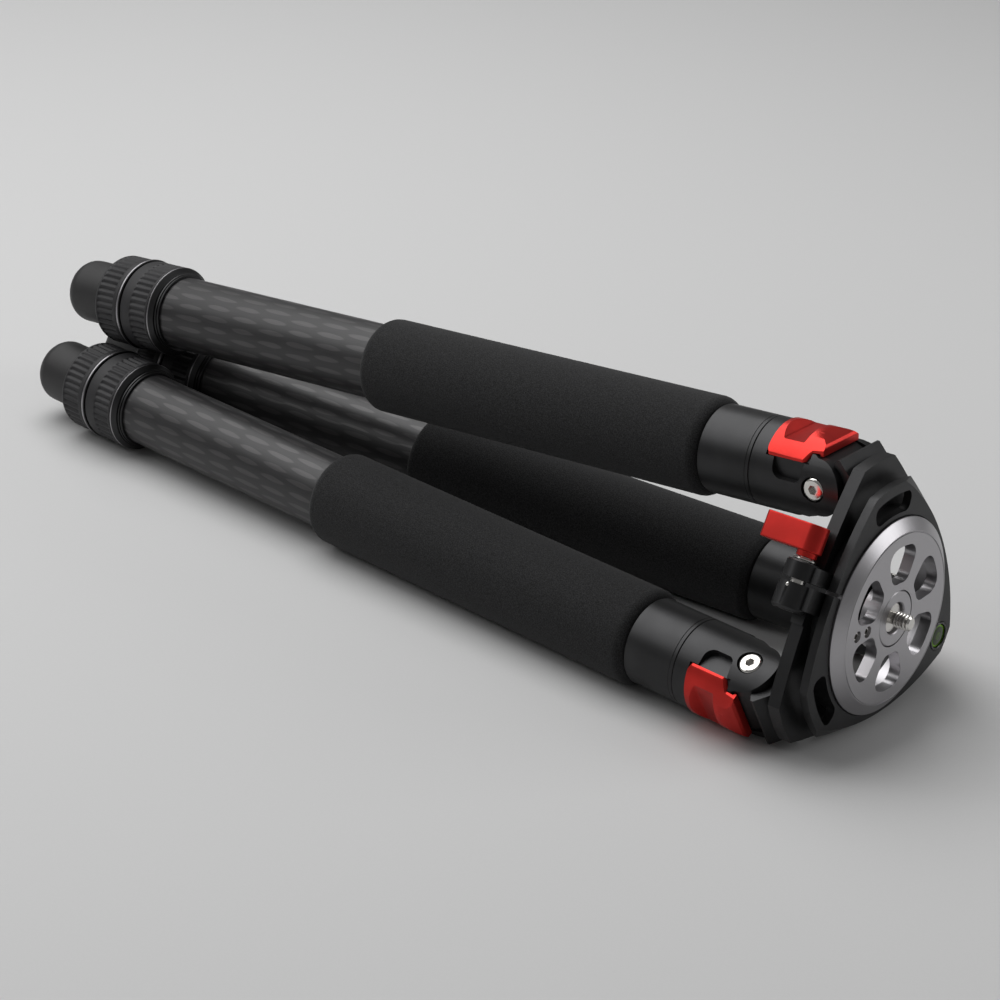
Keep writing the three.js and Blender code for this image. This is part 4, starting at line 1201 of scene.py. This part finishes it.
class TRIPOD_OT_screw(bpy.types.Operator):
    """Camera screw with its thread drawn as close rings, and the knob that turns it"""

    bl_idname = "tripod.screw"
    bl_label = "Camera screw"

    def execute(self, context):
        span = Span("mounting_screw", HEAD)
        out, back = span.end, span.start
        r, root = 3.175, 2.42
        pitch = context.scene.tripod_sizes.thread_pitch / MM
        core = [(back, 0), (back, root), (-4.3, root), (-4.3, 5.6), (-4.0, 5.9), (-2.9, 5.9)]
        core += [(-2.6, 5.6), (-2.6, root)]
        for turn in reversed(range(int((out + 1.8) / pitch))):
            x, crest = out - 0.75 - pitch * turn, r - (0.2 if turn == 0 else 0)
            core += [(x - pitch * 0.44, root), (x - pitch * 0.08, crest)]
            core += [(x + pitch * 0.08, crest), (x + pitch * 0.44, root)]
        core += [(out, root - 0.2), (out, 0)]
        screw = turned("screw", core, 80)
        shade(screw, 30)
        deliver(screw, "camera_screw", "screw", "bright_steel", ["mounting_screw"], HEAD)

        side = [(-19, 0), (-19, 12.2), (-18.6, 12.8), (-18.2, 13), (-11.8, 13), (-11.3, 12.6)]
        side += [(-11, 12), (-11, 8), (-9.4, 8), (-9.2, 7.8), (-9.2, 0)]
        knob = turned("knob", side, 120)
        for index in range(12):
            flute = rod("flute", -20, -10.9, 2.4, 24)
            cut(knob, settle(flute, round_axis(30 * index, 14.2)))
        cut(knob, rod("bore", -15, -8, 2.9, 40))
        dress(knob, 0.25, limit=40)
        deliver(knob, "thumb_knob", "screw", "black_alloy", ["screw_knob"], HEAD)
        return {"FINISHED"}


class TRIPOD_OT_clamp(bpy.types.Operator):
    """Clamp lever, its washer and the stop pin"""

    bl_idname = "tripod.clamp"
    bl_label = "Clamp lever"

    def execute(self, context):
        x, z, place = CLAMP_X, CLAMP_Z, HEAD @ CLAMP_TURN
        near = CLAMP_FACE + CLEAR  # the washer, from near to far
        far = near + 1
        stem = far + CLEAR
        y0 = stem + 2.2
        t = 5.1
        tail = x - 18.9
        shape = [(tail, z - t)] + arc(t, -90, 90, 32, (x, z)) + [(tail, z + t)]
        radii = [1.4] + [0] * (len(shape) - 2) + [1.4]
        lever = prism("lever", rounded(shape, radii), "Y", y0, y0 + 10.2)
        add(lever, peg("stem", x, z, 3.9, stem, y0 + 1, 64))
        cut(lever, peg("bore", x, z, CLAMP_BORE, y0 - 5, y0 + 7, 40))
        dress(lever, 0.6)
        deliver(lever, "clamp_handle", "lever", "red_alloy", ["clamp_lever"], place)

        profile = [(near, 2.8), (near, 4.1), (near + 0.25, 4.4), (far - 0.25, 4.4), (far, 4.1)]
        washer = across(turned("washer", profile + [(far, 2.8)], 64, ring=True), x, z)
        shade(washer, 30)
        deliver(washer, "clamp_ring", "lever", "bright_steel", ["clamp_washer"], place)

        foot, tip = z + 4.9, z + CLAMP_BOSS - 0.6
        profile = [(foot, 0), (foot, 0.95), (tip, 0.95), (tip + 0.5, 0.8), (tip + 0.82, 0.45)]
        pin = upright(turned("pin", profile + [(tip + 0.92, 0)], 40), x, STOP_PIN_Y)
        shade(pin, 40)
        deliver(pin, "stop_rod", "shoulder_unit", "bright_steel", ["stop_pin"], place)
        return {"FINISHED"}


class TRIPOD_OT_level(bpy.types.Operator):
    """Round bubble level in one corner of the shoulder"""

    bl_idname = "tripod.level"
    bl_label = "Bubble level"

    def execute(self, context):
        place = HEAD @ LEVEL_PLACE
        case = [(-10.2, 0), (-10.2, 5.8), (-4.95, 5.8), (-4.7, 5.55), (-4.7, 5.05), (-4.95, 4.8)]
        bezel = turned("bezel", case + [(-9.0, 4.8), (-9.0, 0)], 72)
        shade(bezel, 30)
        deliver(bezel, "level_case", "shoulder_unit", "level_black", ["level_bezel"], place)
        dome = [(-8.7, 0), (-8.7, 4.6), (-5.5, 4.6), (-5.3, 4.2), (-5.12, 3.2), (-5.03, 1.8)]
        dome += [(-5.0, 0)]
        vial = turned("vial", dome, 72)
        shade(vial, 60)
        deliver(vial, "level_glass", "shoulder_unit", "level_fluid", ["level_vial"], place)
        return {"FINISHED"}


class TRIPOD_OT_kept(bpy.types.Operator):
    """Finishes of the CAD pieces that stay as they are"""

    bl_idname = "tripod.kept"
    bl_label = "Hidden pins"

    def execute(self, context):
        for name in ["clamp_bolt"] + [f"latch_pin_{tag}" for tag in LEGS]:
            for slot in frame["nodes"][name].material_slots:
                slot.material = finish("bright_steel")
        return {"FINISHED"}


# ------------------------------------------------------------------ stage
class TRIPOD_OT_stage(bpy.types.Operator):
    """Floor, lamps and camera"""

    bl_idname = "tripod.stage"
    bl_label = "Stage"

    AIM = Vector((0.012172, 0.01789, 0.01922))
    DISTANCE = 1.206058
    AZIMUTH, ELEVATION, ROLL = 38.29595, 24.84317, 3.20731
    LENS = 102.991
    WORLD_LIT, WORLD_SHOWN = 0.17, 0.62  # strength as light, and as the camera sees it
    LAMPS = (
        # name, position, aim, width, height, power
        ("key", (-0.60, 0.10, 1.35), (0.0, 0.0, 0.05), 1.6, 1.3, 20.0),
        ("side", (-0.85, -0.80, 0.95), (0.05, 0.0, 0.05), 0.8, 0.6, 4.0),
        ("rim", (1.05, 0.75, 0.55), (0.15, 0.0, 0.05), 0.7, 0.5, 3.2),
    )

    def lamp(self, name, position, aim, width, height, power):
        data = bpy.data.lights.new(name, "AREA")
        data.shape = "RECTANGLE"
        data.size, data.size_y = width, height
        data.energy = power
        lamp = bpy.data.objects.new(name, data)
        bpy.context.scene.collection.objects.link(lamp)
        away = Vector(position) - Vector(aim)
        lamp.rotation_euler = away.to_track_quat("Z", "Y").to_euler()
        lamp.location = position

    def execute(self, context):
        size = context.scene.tripod_sizes.floor_size
        bpy.ops.object.select_all(action="DESELECT")
        bpy.ops.mesh.primitive_plane_add(size=size, location=(0, 0, 0))
        floor = context.active_object
        floor.name = "floor"
        look = Look("floor")
        soft = look.noise(look.object_point(), 900, 2)
        tone = context.scene.tripod_colours.floor
        look.set(
            Base_Color=look.mix(soft, paint(tone, 0.985), paint(tone, 1.015)),
            Roughness=0.7,
            Specular_IOR_Level=0.2,
        )
        floor.data.materials.append(look.material)

        world = bpy.data.worlds.new("studio")
        nodes = Nodes(world)
        lit, shown = (
            nodes.node("ShaderNodeBackground", values={"Color": (1, 1, 1, 1), "Strength": strength})
            for strength in (self.WORLD_LIT, self.WORLD_SHOWN)
        )
        seen = nodes.node("ShaderNodeLightPath").outputs["Is Camera Ray"]
        mix = nodes.node(
            "ShaderNodeMixShader", values={0: seen, 1: lit.outputs[0], 2: shown.outputs[0]}
        )
        nodes.node("ShaderNodeOutputWorld", values={"Surface": mix.outputs[0]})
        context.scene.world = world

        for row in self.LAMPS:
            self.lamp(*row)

        turn, lift, roll = (math.radians(a) for a in (self.AZIMUTH, self.ELEVATION, self.ROLL))
        side, front = math.sin(turn) * math.cos(lift), -math.cos(turn) * math.cos(lift)
        back = Vector((side, front, math.sin(lift)))
        level = Vector((math.cos(turn), math.sin(turn), 0))
        right = level * math.cos(roll) + back.cross(level) * math.sin(roll)
        data = bpy.data.cameras.new("camera")
        data.lens = self.LENS
        camera = bpy.data.objects.new("camera", data)
        context.scene.collection.objects.link(camera)
        axes = Matrix((right, back.cross(right), back)).transposed().to_4x4()
        camera.matrix_world = Matrix.Translation(self.AIM + back * self.DISTANCE) @ axes
        context.scene.camera = camera
        context.scene.view_settings.view_transform = "Standard"
        return {"FINISHED"}


# ------------------------------------------------------------------ panel and registration
OPERATORS = (
    TRIPOD_OT_stage,
    TRIPOD_OT_yokes,
    TRIPOD_OT_bolts,
    TRIPOD_OT_latches,
    TRIPOD_OT_tubes,
    TRIPOD_OT_grips,
    TRIPOD_OT_collars,
    TRIPOD_OT_locks,
    TRIPOD_OT_feet,
    TRIPOD_OT_shoulder,
    TRIPOD_OT_plate,
    TRIPOD_OT_hub,
    TRIPOD_OT_screw,
    TRIPOD_OT_clamp,
    TRIPOD_OT_level,
    TRIPOD_OT_kept,
)


class TRIPOD_PT_panel(bpy.types.Panel):
    """Lists the builders of the leg set, with its sizes and colours"""

    bl_idname = "TRIPOD_PT_panel"
    bl_label = "Tripod leg set"
    bl_space_type = "VIEW_3D"
    bl_region_type = "UI"
    bl_category = "Tripod"

    def draw(self, context):
        for operator in OPERATORS:
            self.layout.operator(operator.bl_idname)
        for group in (context.scene.tripod_sizes, context.scene.tripod_colours):
            for name in type(group).__annotations__:
                self.layout.prop(group, name)


CLASSES = (TripodSizes, TripodColours) + OPERATORS + (TRIPOD_PT_panel,)


def register():
    for item in CLASSES:
        bpy.utils.register_class(item)
    bpy.types.Scene.tripod_sizes = PointerProperty(type=TripodSizes)
    bpy.types.Scene.tripod_colours = PointerProperty(type=TripodColours)


def unregister():
    del bpy.types.Scene.tripod_colours
    del bpy.types.Scene.tripod_sizes
    for item in reversed(CLASSES):
        bpy.utils.unregister_class(item)


def main():
    register()
    for operator in OPERATORS:
        group, name = operator.bl_idname.split(".")
        getattr(getattr(bpy.ops, group), name)()


if __name__ == "__main__":
    main()
